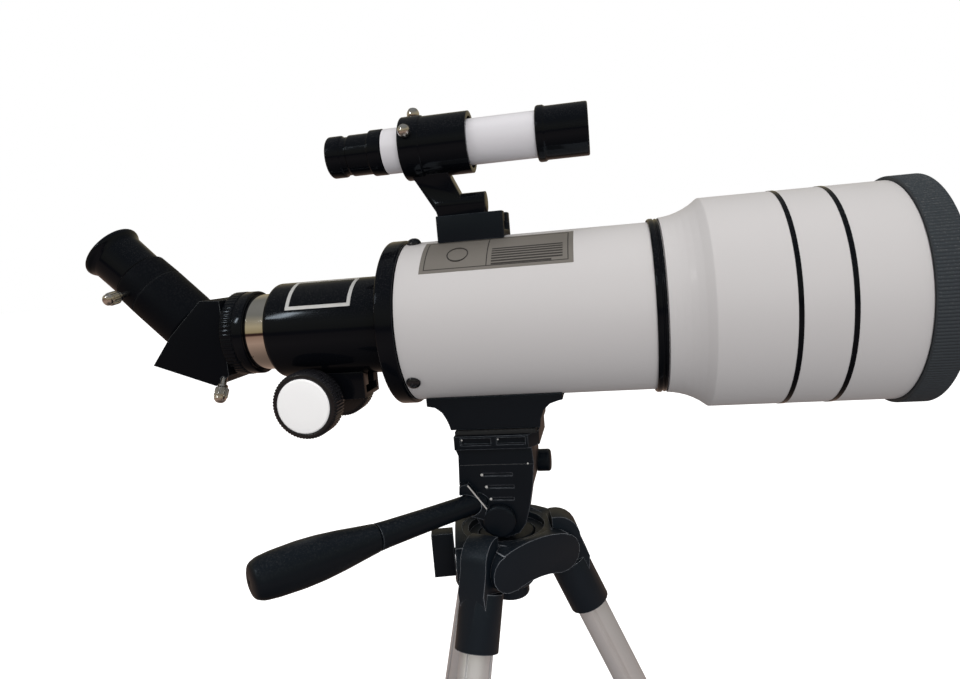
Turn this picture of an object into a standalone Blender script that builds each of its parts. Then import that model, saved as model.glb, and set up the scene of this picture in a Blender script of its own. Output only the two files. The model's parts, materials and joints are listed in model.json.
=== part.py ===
"""Refractor telescope on a folding tripod: a white tube with its dew shield, a rack focuser with a 45 degree
prism and eyepiece, a finder scope, and a pan and tilt head on three aluminium legs.
Metres, +Z up. The optical axis runs along +X with the objective at +X, and the feet stand on Z = 0."""
import math
import bpy
import bmesh
from mathutils import Matrix, Vector

for obj in list(bpy.data.objects):
    bpy.data.objects.remove(obj)

# ---- sizes, in millimetres from the point of the optical axis above the pan axis ----
TUBE_R = 40.0          # main tube, outside
SHIELD_R = 49.0        # dew shield, outside
GRIP_R = 50.7          # rubber grip ring at the front
FOCUSER_R = 25.0       # focuser body, outside
DRAW_R = 20.2          # draw tube, outside
ADAPTER_R = 22.3       # knurled adapter ring
BARREL_R = 12.25       # eyepiece and diagonal barrels
HOLDER_R = 16.0        # eyepiece holder, outside
EYE_R = 14.3           # eyepiece body, outside
FINDER_R = 11.0        # finder tube, outside
FINDER_Z = 86.3        # finder axis above the main axis
KNOB_R = 16.5          # focus knobs
SLEEVE_R = 10.65       # black sleeve at the top of each leg
LEG_R = 8.3            # aluminium upper leg tube
LEG_LEN = 309.6        # hinge to the lower end of the upper tube
SPREAD = 22.0          # leg angle from the vertical, degrees
TURN = 12.0            # the first leg's direction, degrees round from +X
HINGE_R = 25.5         # leg hinges from the pan axis
HINGE_Z = -118.0       # leg hinges below the main axis
TILT_Z = -100.7        # tilt axis below the main axis
FLIP_Y, FLIP_Z = 16.8, -80.8   # axis on which the platform flips over to the side
HANDLE_Z = -92.0       # pan handle
LOCK_Z = -122.0        # pan lock's spindle
SPINDLE_R = 9.4        # pan spindle in the shoulder
WALL = 1.6             # tube walls
GAP = 0.35             # clearance between moving or nested parts
PIN_R = 2.1            # hinge and flip pins
FOLD_X = -158.3        # where the prism folds the optical axis
HEIGHT = 435.63        # main axis above the floor
SHIFT_X, SHIFT_Y = 12.7, 15.9   # puts the middle of the product's box over the origin

MM = 0.001
FRAME = Matrix.Translation((SHIFT_X * MM, SHIFT_Y * MM, HEIGHT * MM))
AXIS_X = Matrix.Identity(4)
AXIS_Y = Matrix.Rotation(math.radians(90), 4, 'Z')      # a part made along X then runs along +Y
AXIS_Z = Matrix.Rotation(math.radians(-90), 4, 'Y')     # a part made along X then runs along +Z
FLAT = Matrix.Rotation(math.radians(90), 4, 'X')        # an outline then lies level

# colour, roughness, metallic
LOOKS = {
    'white': ((0.86, 0.855, 0.84), 0.25, 0.0),
    'gloss': ((0.012, 0.012, 0.014), 0.15, 0.0),
    'satin': ((0.02, 0.021, 0.024), 0.45, 0.0),
    'rubber': ((0.035, 0.04, 0.046), 0.8, 0.0),
    'chrome': ((0.8, 0.8, 0.81), 0.06, 1.0),
    'steel': ((0.62, 0.62, 0.63), 0.3, 1.0),
    'aluminium': ((0.66, 0.66, 0.68), 0.35, 1.0),
    'brass': ((0.62, 0.47, 0.22), 0.3, 1.0),
    'glass': ((0.75, 0.85, 0.88), 0.05, 0.0),
}


def material_of(look):
    if look in bpy.data.materials:
        return bpy.data.materials[look]
    material = bpy.data.materials.new(look)
    material.use_nodes = True
    shader = material.node_tree.nodes['Principled BSDF']
    colour, roughness, metallic = LOOKS[look]
    shader.inputs['Base Color'].default_value = (*colour, 1)
    shader.inputs['Roughness'].default_value = roughness
    shader.inputs['Metallic'].default_value = metallic
    return material


def at(x, y, z, turn=AXIS_X):
    return Matrix.Translation((x, y, z)) @ turn


def towards(x, y, z, direction):
    """A frame whose X axis runs along the direction."""
    return Matrix.Translation((x, y, z)) @ Vector(direction).to_track_quat('X', 'Z').to_matrix().to_4x4()


def arc(x, z, r, start, end, steps):
    """Points on a circle round (x, z), from one angle to the other in degrees."""
    turns = [math.radians(start + (end - start) * k / steps) for k in range(steps + 1)]
    return [(x + r * math.cos(t), z + r * math.sin(t)) for t in turns]


def solid(name, verts, faces, place, look):
    """A mesh in its own frame, in metres, set down at the place. With no look it's a Boolean's helper."""
    mesh = bpy.data.meshes.new(name)
    mesh.from_pydata([Vector(v) * MM for v in verts], [], faces)
    bm = bmesh.new()
    bm.from_mesh(mesh)
    bmesh.ops.recalc_face_normals(bm, faces=bm.faces)
    if bm.calc_volume(signed=True) < 0:
        bmesh.ops.reverse_faces(bm, faces=bm.faces)
    bm.to_mesh(mesh)
    bm.free()
    obj = bpy.data.objects.new(name, mesh)
    bpy.context.scene.collection.objects.link(obj)
    spot = place.copy()
    spot.translation *= MM
    obj.matrix_world = FRAME @ spot
    if look:
        mesh.materials.append(material_of(look))
    else:
        obj.hide_render = True
        obj.display_type = 'WIRE'
    return obj


def lathe(name, profile, place=AXIS_X, n=32, look=None):
    """Turns the closed profile of (x, radius) points about the X axis."""
    verts, rings = [], []
    for x, r in profile:
        if r < 1e-6:
            rings.append([len(verts)])
            verts.append((x, 0, 0))
            continue
        rings.append(list(range(len(verts), len(verts) + n)))
        turns = [2 * math.pi * k / n for k in range(n)]
        verts += [(x, -r * math.sin(t), r * math.cos(t)) for t in turns]
    faces = []
    for a, b in zip(rings, rings[1:] + rings[:1]):
        for k in range(n):
            j = (k + 1) % n
            if len(a) > 1 and len(b) > 1:
                faces.append((a[k], a[j], b[j], b[k]))
            elif len(a) > 1:
                faces.append((a[k], a[j], b[0]))
            elif len(b) > 1:
                faces.append((a[0], b[j], b[k]))
    obj = solid(name, verts, faces, place, look)
    if look:
        obj.data.polygons.foreach_set('use_smooth', [True] * len(obj.data.polygons))
        obj.data.set_sharp_from_angle(angle=math.radians(35))
    return obj


def rod(name, x0, x1, r, place=AXIS_X, n=24, look=None):
    return lathe(name, [(x0, 0), (x0, r), (x1, r), (x1, 0)], place, n, look)


def pipe(name, x0, x1, r_out, r_in, place=AXIS_X, n=32, look=None):
    return lathe(name, [(x0, r_in), (x0, r_out), (x1, r_out), (x1, r_in)], place, n, look)


def slab(name, outline, y0, y1, place=AXIS_X, look=None):
    """The outline of (x, z) points made solid between y0 and y1."""
    m = len(outline)
    verts = [(x, y0, z) for x, z in outline] + [(x, y1, z) for x, z in outline]
    faces = [tuple(range(m)), tuple(range(2 * m - 1, m - 1, -1))]
    faces += [(k, (k + 1) % m, m + (k + 1) % m, m + k) for k in range(m)]
    return solid(name, verts, faces, place, look)


def level(name, outline, z0, z1, look=None):
    """The outline of (x, y) points made solid between z0 and z1."""
    return slab(name, [(x, -y) for x, y in outline], z0, z1, FLAT, look)


def box(name, x, y, z, place=AXIS_X, look=None):
    """A block over the (low, high) pairs x, y and z."""
    return slab(name, [(x[0], z[0]), (x[1], z[0]), (x[1], z[1]), (x[0], z[1])], y[0], y[1], place, look)


def combine(obj, others, how):
    """Joins or cuts for good, and drops the helpers."""
    for other in others:
        mod = obj.modifiers.new(how.lower(), 'BOOLEAN')
        mod.operation = how
        mod.solver = 'EXACT'
        mod.object = other
        bpy.context.view_layer.update()
        graph = bpy.context.evaluated_depsgraph_get()
        mesh = bpy.data.meshes.new_from_object(obj.evaluated_get(graph))
        obj.modifiers.clear()
        obj.data = mesh
        bpy.data.objects.remove(other)
    return obj


def cut(obj, *others):
    return combine(obj, others, 'DIFFERENCE')


def add(obj, *others):
    return combine(obj, others, 'UNION')


def carry(name, parent, place, *pieces):
    """An empty on a joint's axis, with X along it, that carries the pieces of one moving body."""
    empty = bpy.data.objects.new(name, None)
    bpy.context.scene.collection.objects.link(empty)
    spot = place.copy()
    spot.translation *= MM
    empty.matrix_world = FRAME @ spot
    bpy.context.view_layer.update()
    for child in [bpy.data.objects[piece] for piece in pieces]:
        world = child.matrix_world.copy()
        child.parent = empty
        child.matrix_world = world
    if parent:
        world = empty.matrix_world.copy()
        empty.parent = bpy.data.objects[parent]
        empty.matrix_world = world


# ---- main tube, its cells and the dew shield ----
BORE = TUBE_R - WALL
LENS_R = BORE - 1.4
SHIELD_END = 193.6
BAND_X = (133.0, 153.4)        # where the two thin black bands start
BAND_WIDE = 2.05
REAR_X = -38.0                 # the rear cell meets the tube here
pipe('main_tube', REAR_X + 0.4, 108, TUBE_R, BORE, n=40, look='white')
lathe('rear_cell', [(REAR_X - 9, FOCUSER_R + GAP), (REAR_X - 9, TUBE_R + 0.6), (REAR_X - 8, TUBE_R + 1.6),
                    (REAR_X - 1, TUBE_R + 1.6), (REAR_X, TUBE_R + 0.8), (REAR_X, BORE - GAP),
                    (REAR_X + 11, BORE - GAP), (REAR_X + 11, BORE - 2.5), (REAR_X - 3, BORE - 2.5),
                    (REAR_X - 5, FOCUSER_R + GAP)], n=40, look='gloss')
for k, turn in enumerate((10, 130, 250)):
    a = math.radians(turn)
    head = [(0.3, 0), (0.3, 3.4), (1.6, 3.0), (2.4, 1.8), (2.7, 0)]
    lathe('rear_cell_screw_%d' % (k + 1), [(TUBE_R + x, r) for x, r in head],
          towards(REAR_X + 4.5, 0, 0, (0, -math.sin(a), math.cos(a))), n=12, look='gloss')
lathe('objective_cell', [(98, LENS_R - 1.8), (98, BORE - GAP), (107.8, BORE - GAP), (107.8, LENS_R + 0.4),
                         (102, LENS_R + 0.4), (102, LENS_R - 1.8)], n=40, look='satin')
lathe('objective_lens', [(102.6, 0), (102.6, LENS_R), (106, LENS_R), (108.2, LENS_R / 2), (109, 0)],
      n=32, look='glass')
lathe('lens_ring', [(106.4, LENS_R - 3.1), (106.4, LENS_R), (108.3, LENS_R), (108.3, LENS_R - 3.1)],
      n=32, look='satin')
shield = [(84.2, TUBE_R + 0.9), (84.2, TUBE_R + 1.6), (86, TUBE_R + 2.1), (90, TUBE_R + 3.2),
          (94, TUBE_R + 4.6), (98, SHIELD_R - 2.4), (102.4, SHIELD_R)]
for x in BAND_X:
    shield += [(x - 0.3, SHIELD_R), (x - 0.3, SHIELD_R - 0.6)]
    shield += [(x + BAND_WIDE + 0.3, SHIELD_R - 0.6), (x + BAND_WIDE + 0.3, SHIELD_R)]
shield += [(SHIELD_END - 11.9, SHIELD_R), (SHIELD_END - 11.9, SHIELD_R - 1.0), (SHIELD_END, SHIELD_R - 1.0),
           (SHIELD_END, SHIELD_R - 2.6), (112, SHIELD_R - 2.6), (112, TUBE_R + 0.9)]
lathe('dew_shield', shield, n=40, look='white')
lathe('tube_band', [(77.2, TUBE_R + 0.3), (77.2, TUBE_R + 1.0), (78, TUBE_R + 1.8), (83, TUBE_R + 1.8),
                    (83.8, TUBE_R + 1.2), (83.8, TUBE_R + 0.3)], n=40, look='satin')
for k, x in enumerate(BAND_X):
    pipe('accent_band_%d' % (k + 1), x, x + BAND_WIDE, SHIELD_R + 0.2, SHIELD_R - 0.3, n=40, look='gloss')
lathe('grip_ring', [(SHIELD_END - 11.6, SHIELD_R - 0.7), (SHIELD_END - 11.6, GRIP_R - 0.5),
                    (SHIELD_END - 11, GRIP_R), (SHIELD_END + 0.4, GRIP_R), (SHIELD_END + 1.1, GRIP_R - 0.7),
                    (SHIELD_END + 1.1, SHIELD_R - 2.2), (SHIELD_END + 0.3, SHIELD_R - 2.2),
                    (SHIELD_END + 0.3, SHIELD_R - 0.7)], n=40, look='rubber')

# ---- focuser: the pinion on the knobs' shaft drives the rack under the draw tube ----
FOCUSER_X = (-112.0, -35.0)
PINION_X, PINION_Z = -91.5, -35.5
SHAFT_R, DRUM_R = 2.5, 5.0
RACK_HALF, RACK_Z = 3.6, -30.1
PINION = at(PINION_X, 0, PINION_Z, AXIS_Y)
focuser = lathe('focuser_body', [(FOCUSER_X[0], DRAW_R + GAP), (FOCUSER_X[0], FOCUSER_R - 0.8),
                                 (FOCUSER_X[0] + 0.8, FOCUSER_R), (FOCUSER_X[1], FOCUSER_R),
                                 (FOCUSER_X[1], DRAW_R + GAP)], look='gloss')
cut(focuser, box('rack_slot', (FOCUSER_X[0] - 1, -49), (-RACK_HALF - 0.6, RACK_HALF + 0.6),
                 (-FOCUSER_R - 3, -DRAW_R + 3)))
pipe('draw_tube', -124, -60, DRAW_R, DRAW_R - WALL, look='chrome')
box('draw_rack', (-118, -62), (-RACK_HALF, RACK_HALF), (RACK_Z, -DRAW_R - GAP), look='brass')
block = slab('pinion_block', [(-104, -21), (-104, -36), (-99, -41.8), (-84, -41.8), (-78, -37.0),
                              (-66, -36.6), (-66, -21)], -11, 11, look='gloss')
cut(block, rod('bore', -150, -20, FOCUSER_R + GAP, n=32),
    box('rack_way', (-110, -50), (-RACK_HALF - 0.6, RACK_HALF + 0.6), (RACK_Z - 0.9, -20)),
    rod('shaft_way', -20, 20, SHAFT_R + 0.4, PINION, n=16),
    rod('drum_way', -4.7, 4.7, DRUM_R + 0.6, PINION, n=16),
    box('drum_mouth', (PINION_X - DRUM_R - 0.1, PINION_X + DRUM_R + 0.1), (-4.45, 4.45),
        (PINION_Z + 0.4, RACK_Z + 0.8)),
    box('end_recess', (-74, -60), (-8, 8), (-34.4, RACK_Z - 0.4)))
lathe('pinion_shaft', [(-26.5, 0), (-26.5, SHAFT_R), (-4, SHAFT_R), (-4, DRUM_R), (4, DRUM_R),
                       (4, SHAFT_R), (26.5, SHAFT_R), (26.5, 0)], PINION, n=16, look='steel')
knob = [(17.2, SHAFT_R + 0.3), (17.2, KNOB_R - 1.6), (18.2, KNOB_R), (28.6, KNOB_R), (29.6, KNOB_R - 1.4),
        (29.6, KNOB_R - 3.4), (30.8, KNOB_R - 4), (30.8, 0), (27, 0), (27, SHAFT_R + 0.3)]
lathe('focus_knob_far', knob, PINION, look='gloss')
lathe('focus_knob_near', [(-x, r) for x, r in knob], PINION, look='gloss')
lathe('adapter_ring', [(-137.2, BARREL_R + GAP), (-137.2, ADAPTER_R - 1.1), (-136.4, ADAPTER_R),
                       (-124.8, ADAPTER_R), (-124.3, ADAPTER_R - 0.4), (-124.3, DRAW_R - WALL - GAP),
                       (-119, DRAW_R - WALL - GAP), (-119, BARREL_R + GAP)], look='gloss')


def thumbscrew(name, place, tip, reach):
    """A round-headed clamping screw from its tip, at that distance along the place's X axis."""
    points = [(0, 0), (0, 1.5), (reach, 1.5), (reach, 2.7), (reach + 0.7, 3.4), (reach + 6.7, 3.4),
              (reach + 8.9, 2.4), (reach + 9.9, 0)]
    return lathe(name, [(tip + x, r) for x, r in points], place, n=14, look='steel')



# ---- 45 degree prism and eyepiece: their frame runs along the folded axis ----
FOLD = at(FOLD_X, 0, 0, Matrix.Rotation(math.radians(-135), 4, 'Y'))
housing = slab('prism_housing', [(-168.9, 1.6), (-180.6, -12.6), (-145.5, -25.4), (-137.6, -20.4),
                                 (-137.6, 19.2), (-148.6, 19.8)], -16.6, 16.6, look='satin')
HOUSING_SCREW = towards(-141.0, 0, 0, Vector((0, -0.57, -0.82)).normalized())
cut(housing, rod('eye_way', 0, 40, 11.2, FOLD), rod('tube_way', FOLD_X, -130, 11.2),
    slab('hollow', [(-166, 0.5), (-175, -10.4), (-147.5, -20.6), (-142, -17.5), (-142, 13), (-152, 13)],
         -13.2, 13.2))
slab('prism', [(-166.0, -2.0), (-173.6, -10.4), (-148.2, -19.6), (-143.2, -16.6), (-143.2, 8.0),
               (-153.5, 9.5)], -12.6, 12.6, look='glass')
cut(housing, rod('screw_hole', 15, 40, 1.9, HOUSING_SCREW, n=12))
thumbscrew('housing_thumbscrew', HOUSING_SCREW, 20.0, 10.4)
pipe('diagonal_barrel', -137.3, -113, BARREL_R, BARREL_R - 1.15, n=24, look='chrome')
COLLAR_K = (36.0, 49.2)        # the clamping collar's ends along the folded axis
HOLDER_SIDE = Vector((0, -0.97, 0.24)).normalized()
HOLDER_SCREW = FOLD @ towards(41.5, 0, 0, HOLDER_SIDE)
holder = lathe('eyepiece_holder', [(9.0, 11.4), (9.0, HOLDER_R - 0.4), (9.6, HOLDER_R),
                                   (COLLAR_K[0], HOLDER_R), (COLLAR_K[0] + 0.4, HOLDER_R - 0.5),
                                   (COLLAR_K[1] - 0.4, HOLDER_R - 0.9), (COLLAR_K[1], HOLDER_R - 1.3),
                                   (COLLAR_K[1], BARREL_R + GAP), (20, BARREL_R + GAP), (18, 11.4)],
               FOLD, look='gloss')
cut(holder, rod('screw_hole', 8, 30, 1.9, HOLDER_SCREW, n=12))
thumbscrew('holder_thumbscrew', HOLDER_SCREW, 15.0, 6.3)
eye_x = COLLAR_K[1] + 0.4
lathe('eyepiece_body', [(28, 10.6), (28, BARREL_R - 0.05), (eye_x, BARREL_R - 0.05), (eye_x, EYE_R - 0.4),
                        (eye_x + 0.6, EYE_R), (67.5, EYE_R + 0.3), (69.2, EYE_R + 1.6), (70.6, EYE_R + 2.0),
                        (71.8, EYE_R + 1.3), (72, EYE_R - 1.5), (69.0, 8.5), (69.0, 6.6), (64, 6.6),
                        (64, 10.6)], FOLD, look='gloss')
lathe('eye_lens', [(59.5, 0), (59.5, 9.8), (62.4, 9.8), (63.4, 5), (63.6, 0)], FOLD, n=20, look='glass')

# ---- finder, whose bracket slides off the shoe on the tube ----
SHOE_X = (-20.2, 12.5)
FINDER = at(0, 0, FINDER_Z)
RING_R = FINDER_R + 3.8
SCREW_X = -30.6
base = box('finder_base', SHOE_X, (-12, 12), (36.5, 51.5), look='satin')
cut(base, rod('tube_way', -60, 60, TUBE_R + GAP, n=40),
    box('shoe_mouth', (-25, 20), (-5.4, 5.4), (46.4, 53)),
    box('shoe_way', (-25, 20), (-8.4, 8.4), (42.8, 46.5)))
bracket = pipe('finder_bracket', -35, 2.0, RING_R, FINDER_R + 1.4, FINDER, look='gloss')
stalk_top = FINDER_Z - RING_R + 1.7
add(bracket, slab('stalk', [(-32.5, stalk_top), (-14.2, stalk_top), (-8.4, 60.5), (-10, 54), (-20.0, 51.8)],
                  -5.0, 5.0),
    rod('barrel', -21.4, 3.4, 5.3, at(0, 0, 56.9), n=20),
    box('neck', (-19.8, 3.0), (-5.0, 5.0), (46.0, 56.0)),
    box('tongue', (-19.8, 3.0), (-8.0, 8.0), (43.2, 46.1)))
FINDER_SIDES = [(0, -0.94, 0.34), (0, 0.20, 0.98)]
for k, direction in enumerate(FINDER_SIDES):
    place = towards(SCREW_X, 0, FINDER_Z, direction)
    cut(bracket, rod('screw_hole', 5, 30, 1.9, place, n=12))
    points = [(0, 0), (0, 1.5), (3.6, 1.5), (3.6, 2.4), (4.6, 3.0), (6.6, 3.0), (8.2, 2.1), (9.0, 0)]
    lathe('finder_screw_%d' % (k + 1), [(FINDER_R + 0.9 + x, r) for x, r in points], place, n=14,
          look='steel')
pipe('finder_tube', -45, 44, FINDER_R, FINDER_R - 1.2, FINDER, look='white')
EYE_BORE = FINDER_R - 1.2 - GAP
lathe('finder_eyepiece', [(-74.5, 4.5), (-74.5, 10.3), (-66.8, 10.3), (-66.4, 9.4), (-63.8, 9.4),
                          (-63.4, 10.1), (-52.2, 10.1), (-52, 11.2), (-45.3, 11.2), (-45.3, EYE_BORE),
                          (-40, EYE_BORE), (-40, 7.4), (-70, 7.4), (-70, 4.5)], FINDER, n=28, look='gloss')
lathe('finder_hood', [(30.6, FINDER_R + GAP), (30.6, 12.6), (31.4, 13.1), (34.2, 13.1), (35, 12.5),
                      (55.1, 12.5), (55.1, 11.2), (44.6, 11.2), (44.6, FINDER_R + GAP)],
      FINDER, look='gloss')
lathe('finder_lens', [(38.5, 0), (38.5, FINDER_R - 1.6), (41, FINDER_R - 1.6), (42.4, 5), (42.8, 0)],
      FINDER, n=20, look='glass')

# ---- saddle foot, and the head that pans, tilts and flips ----
FOOT_Z = -54.1
PAD_Z = (-56.5, FOOT_Z - 0.3)
PLATE_Z = (-63.6, PAD_Z[0] - 0.3)
HEAD_Y = (-15.5, 10.2)
TONGUE_HALF = 7.9
left_flank = [(-32.7, -30), (-32.7, -41.6), (-28.5, -42.4), (-25.2, -45.0), (-23.2, -48.6), (-22.0, -51.8)]
right_flank = [(23.9, -50.0), (25.6, -45.6), (28.8, -42.6), (33.0, -41.2), (35.2, -40.8), (35.2, -30)]
foot = slab('mount_foot', left_flank + [(-21.5, FOOT_Z), (23.4, FOOT_Z)] + right_flank, -15.5, 15.5,
            look='satin')
UPRIGHT = at(0, 0, 0, AXIS_Z)
cut(foot, rod('tube_way', -60, 60, TUBE_R + GAP, n=40), rod('thread', -60, -44, 3.4, UPRIGHT, n=16))
plate = level('head_platform', [(-19.8, -18), (17.2, -18), (22, -11), (22, 20), (-19.8, 20)], *PLATE_Z,
              look='satin')
cut(plate, rod('thread', -70, -52, 3.6, UPRIGHT, n=16),
    rod('screw_recess', -70, PLATE_Z[0] + 4.4, 9.5, UPRIGHT),
    box('slot', (-16.5, -1.3), (-20, -15.4), (-61.4, -57.9)),
    box('slot', (1.7, 15.8), (-20, -15.4), (-61.4, -57.9)))
add(plate, box('lug', (-6, 6), (13.2, 19.6), (FLIP_Z - 5.4, PLATE_Z[0] + 1.5)))
FLIP = at(0, FLIP_Y, FLIP_Z)
cut(plate, rod('pin_way', -30, 40, PIN_R + 0.2, FLIP, n=14))
pad = box('platform_pad', (-19.2, 21.2), (-17, 19), PAD_Z, look='rubber')
cut(pad, rod('thread', -70, -50, 4.4, UPRIGHT, n=16))
screw_z = PLATE_Z[0] + 0.6
lathe('camera_screw', [(screw_z, 0), (screw_z, 8.8), (screw_z + 3.2, 8.8), (screw_z + 3.2, 3.1),
                       (-46.5, 3.1), (-46.5, 0)], UPRIGHT, n=20, look='steel')
head_top = PLATE_Z[0] - 0.4
body = slab('tilt_body', [(-20, head_top), (18.4, head_top), (18.9, -71.4), (17.6, -83), (15.2, -94.9),
                          (12.7, -103.0), (9.2, -107.8), (2.6, -110.2), (-3, -109.8), (-8.1, -107.2),
                          (-13.5, -98), (-18.2, -90), (-19.6, -82), (-18.8, -67.3)], *HEAD_Y, look='satin')
TILT = at(0, 0, TILT_Z, AXIS_Y)
cut(body, rod('pin_way', -20, 20, 4.1, TILT, n=20),
    box('tongue_way', (-30, 40), (-TONGUE_HALF - 0.3, 14), (-116, -85)))
HANDLE = towards(-9, -11.5, HANDLE_Z, (-0.686, -0.728, 0))
LUG_Z = (FLIP_Z - 5.2, -68.5)
add(body, box('lug', (-18.0, -7), (8.6, 19.6), LUG_Z), box('lug', (7, 15.2), (8.6, 19.6), LUG_Z))
cut(body, rod('pin_way', -30, 40, PIN_R + 0.2, FLIP, n=14), rod('handle_way', 0.4, 20, 5.8, HANDLE, n=20))
lathe('flip_knob', [(-18, 0), (-18, PIN_R - 0.1), (16.2, PIN_R - 0.1), (16.2, 5.2), (17.2, 5.95),
                    (23.4, 5.95), (24.3, 5.2), (24.3, 0)], FLIP, n=20, look='satin')
lathe('tilt_pivot', [(-19.7, 0), (-19.7, 7.4), (-18.9, 8.3), (-15.9, 8.3), (-15.9, 3.6), (9.0, 3.6),
                     (9.0, 0)], TILT, look='satin')
lathe('pan_handle', [(1.0, 0), (1.0, 5.3), (60.2, 5.3), (60.2, 4.2), (104, 4.2), (104, 0)],
      HANDLE, n=20, look='satin')
lathe('handle_grip', [(60.6, 4.6), (60.6, 6.6), (66, 7.2), (72, 8.3), (80, 9.2), (94, 10.0), (108, 9.7),
                      (115, 9.0), (117.6, 7.4), (118.4, 4), (118.4, 0), (105, 0), (105, 4.6)],
      HANDLE, n=20, look='rubber')
WELL_Z = (-117.2, -113.0)      # the recess in the shoulder that holds the pan base
pan = lathe('pan_base', [(WELL_Z[0], 0), (WELL_Z[0], 14), (-116.4, 14.6), (-113.6, 14.6), (-112.7, 13.9),
                         (-112.7, 0)], UPRIGHT, n=28, look='satin')
add(pan, slab('tongue', [(-5.2, -114), (5.2, -114), (6.4, TILT_Z), (4.6, -95.6), (0, -93), (-4.6, -95.6),
                         (-6.4, TILT_Z)], -TONGUE_HALF, TONGUE_HALF))
cut(pan, rod('pin_way', -20, 20, 4.1, TILT, n=20))
lathe('pan_spindle', [(-147.6, 0), (-147.6, 9.0), (-146.6, 9.6), (-141.6, 9.6), (-141.6, SPINDLE_R - 0.3),
                      (WELL_Z[0] - GAP, SPINDLE_R - 0.3), (WELL_Z[0] - GAP, 0)], UPRIGHT, n=24,
      look='aluminium')

# ---- tripod: a shoulder with three kidney-shaped plates, and a leg hinged between each pair ----
PLATE_D = (22.0, 27.0)         # the plates' faces from the pan axis
KNUCKLE_HALF = 7.0
HUB_R = 12.8
ARM_TOP = -110.4               # the shoulder stays below the tilting head's sweep


def turned(degrees):
    return Matrix.Rotation(math.radians(degrees), 4, 'Z')


def kidney():
    """An arched strip with round ends, seen from outside: (along, z) points."""
    ends, mid_z, end_z, half, reach = 9.6, -118.9, -121.6, 10.0, 16.8
    rise = mid_z - end_z
    bend = (reach ** 2 + rise ** 2) / (2 * rise)
    lean = math.degrees(math.asin(reach / bend))
    centre = mid_z - bend
    upper = arc(0, centre, bend + half, 90 - lean, 90 + lean, 8)
    lower = arc(0, centre, bend - half, 90 + lean, 90 - lean, 8)
    left = arc(-reach, end_z, ends, 100, 260, 7)
    right = arc(reach, end_z, ends, -80, 80, 7)
    return upper + left + lower + right


hub = lathe('shoulder', [(-140.8, 0), (-140.8, HUB_R - 1), (-139.6, HUB_R), (-124, HUB_R), (-119.5, 20.6),
                         (-113, 20.6), (-113, 0)], UPRIGHT, n=28, look='satin')
for k in range(3):
    facing = turned(TURN + 60 + 120 * k) @ turned(90)
    hub = add(hub, slab('plate', kidney(), -PLATE_D[1], -14.5, facing))
for k in range(3):
    place = turned(TURN + 120 * k)
    hub = add(hub, slab('arm', [(11, -124), (16.0, -126), (19.6, -120.5), (22.6, -114), (22.6, ARM_TOP),
                                (18, ARM_TOP), (17, -117)], -11, 11, place))
for k in range(3):
    place = turned(TURN + 120 * k)
    hinge = place @ at(HINGE_R, 0, HINGE_Z, AXIS_Y)
    way = [(23.0, -90), (23.0, -114.4), (20.0, -121.4), (14.2, -131), (14.2, -145), (60, -145), (60, -90)]
    hub = cut(hub, slab('knuckle_way', way, -KNUCKLE_HALF - 0.6, KNUCKLE_HALF + 0.6, place),
              rod('pin_way', -12.4, 12.4, PIN_R + 0.3, hinge, n=14))
LOCK = turned(TURN + 180) @ at(0, 0, LOCK_Z)
cut(hub, rod('lock_way', 8, 40, 2.2, LOCK, n=12),
    rod('well', WELL_Z[0] - GAP, -100, 15.2, UPRIGHT, n=28),
    lathe('sweep', [(-113.6, 0), (-113.6, 20.0), (ARM_TOP + 0.3, 20.0), (ARM_TOP + 0.3, 23.4), (-90, 23.4),
                    (-90, 0)], UPRIGHT, n=36),
    rod('spindle_way', -150, -110, SPINDLE_R + GAP, UPRIGHT, n=28))
lock = lathe('pan_lock', [(9.9, 0), (9.9, 1.8), (29.5, 1.8), (29.5, 4.2), (32, 4.2), (32, 0)],
             LOCK, n=16, look='satin')
add(lock, box('wing', (28.4, 39.6), (-4.2, 4.2), (-11.6, 11.6), LOCK))

for k in range(3):
    hinge = turned(TURN + 120 * k) @ at(HINGE_R, 0, HINGE_Z)
    down = hinge @ Matrix.Rotation(math.radians(90 - SPREAD), 4, 'Y')      # X runs down the leg
    sleeve = rod('leg_%d_sleeve' % (k + 1), 14.6, 41.5, SLEEVE_R, down, n=24, look='satin')
    crown = [(-2.1, 1.0), (-2.1, 12.2)] + arc(0.4, 0.5, 11.9, 84, 0, 6)
    add(sleeve, slab('knuckle', crown + [(16.4, -10.2), (15.2, -21.0), (-2.5, -15.5), (-4.1, -10.0)],
                     -KNUCKLE_HALF, KNUCKLE_HALF, hinge),
        rod('pins', -11.8, 11.8, PIN_R, hinge @ AXIS_Y, n=14))
    cut(sleeve, rod('tube_way', 18, 60, LEG_R + GAP, down, n=24))
    pipe('leg_%d_tube' % (k + 1), 18.5, LEG_LEN, LEG_R, LEG_R - 1.2, down, n=20, look='aluminium')
    inner = LEG_R - 1.2 - GAP
    end = LEG_LEN + 34
    lower = lathe('leg_%d_lower' % (k + 1), [(60, 0), (60, inner), (LEG_LEN + 14, inner),
                                             (LEG_LEN + 14, 9.0), (LEG_LEN + 20, 10.2), (end, 9.6), (end, 0)],
                  down, n=16, look='rubber')
    cut(lower, box('floor', (-300, 300), (-300, 300), (-HEIGHT - 60, -HEIGHT)))

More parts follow.
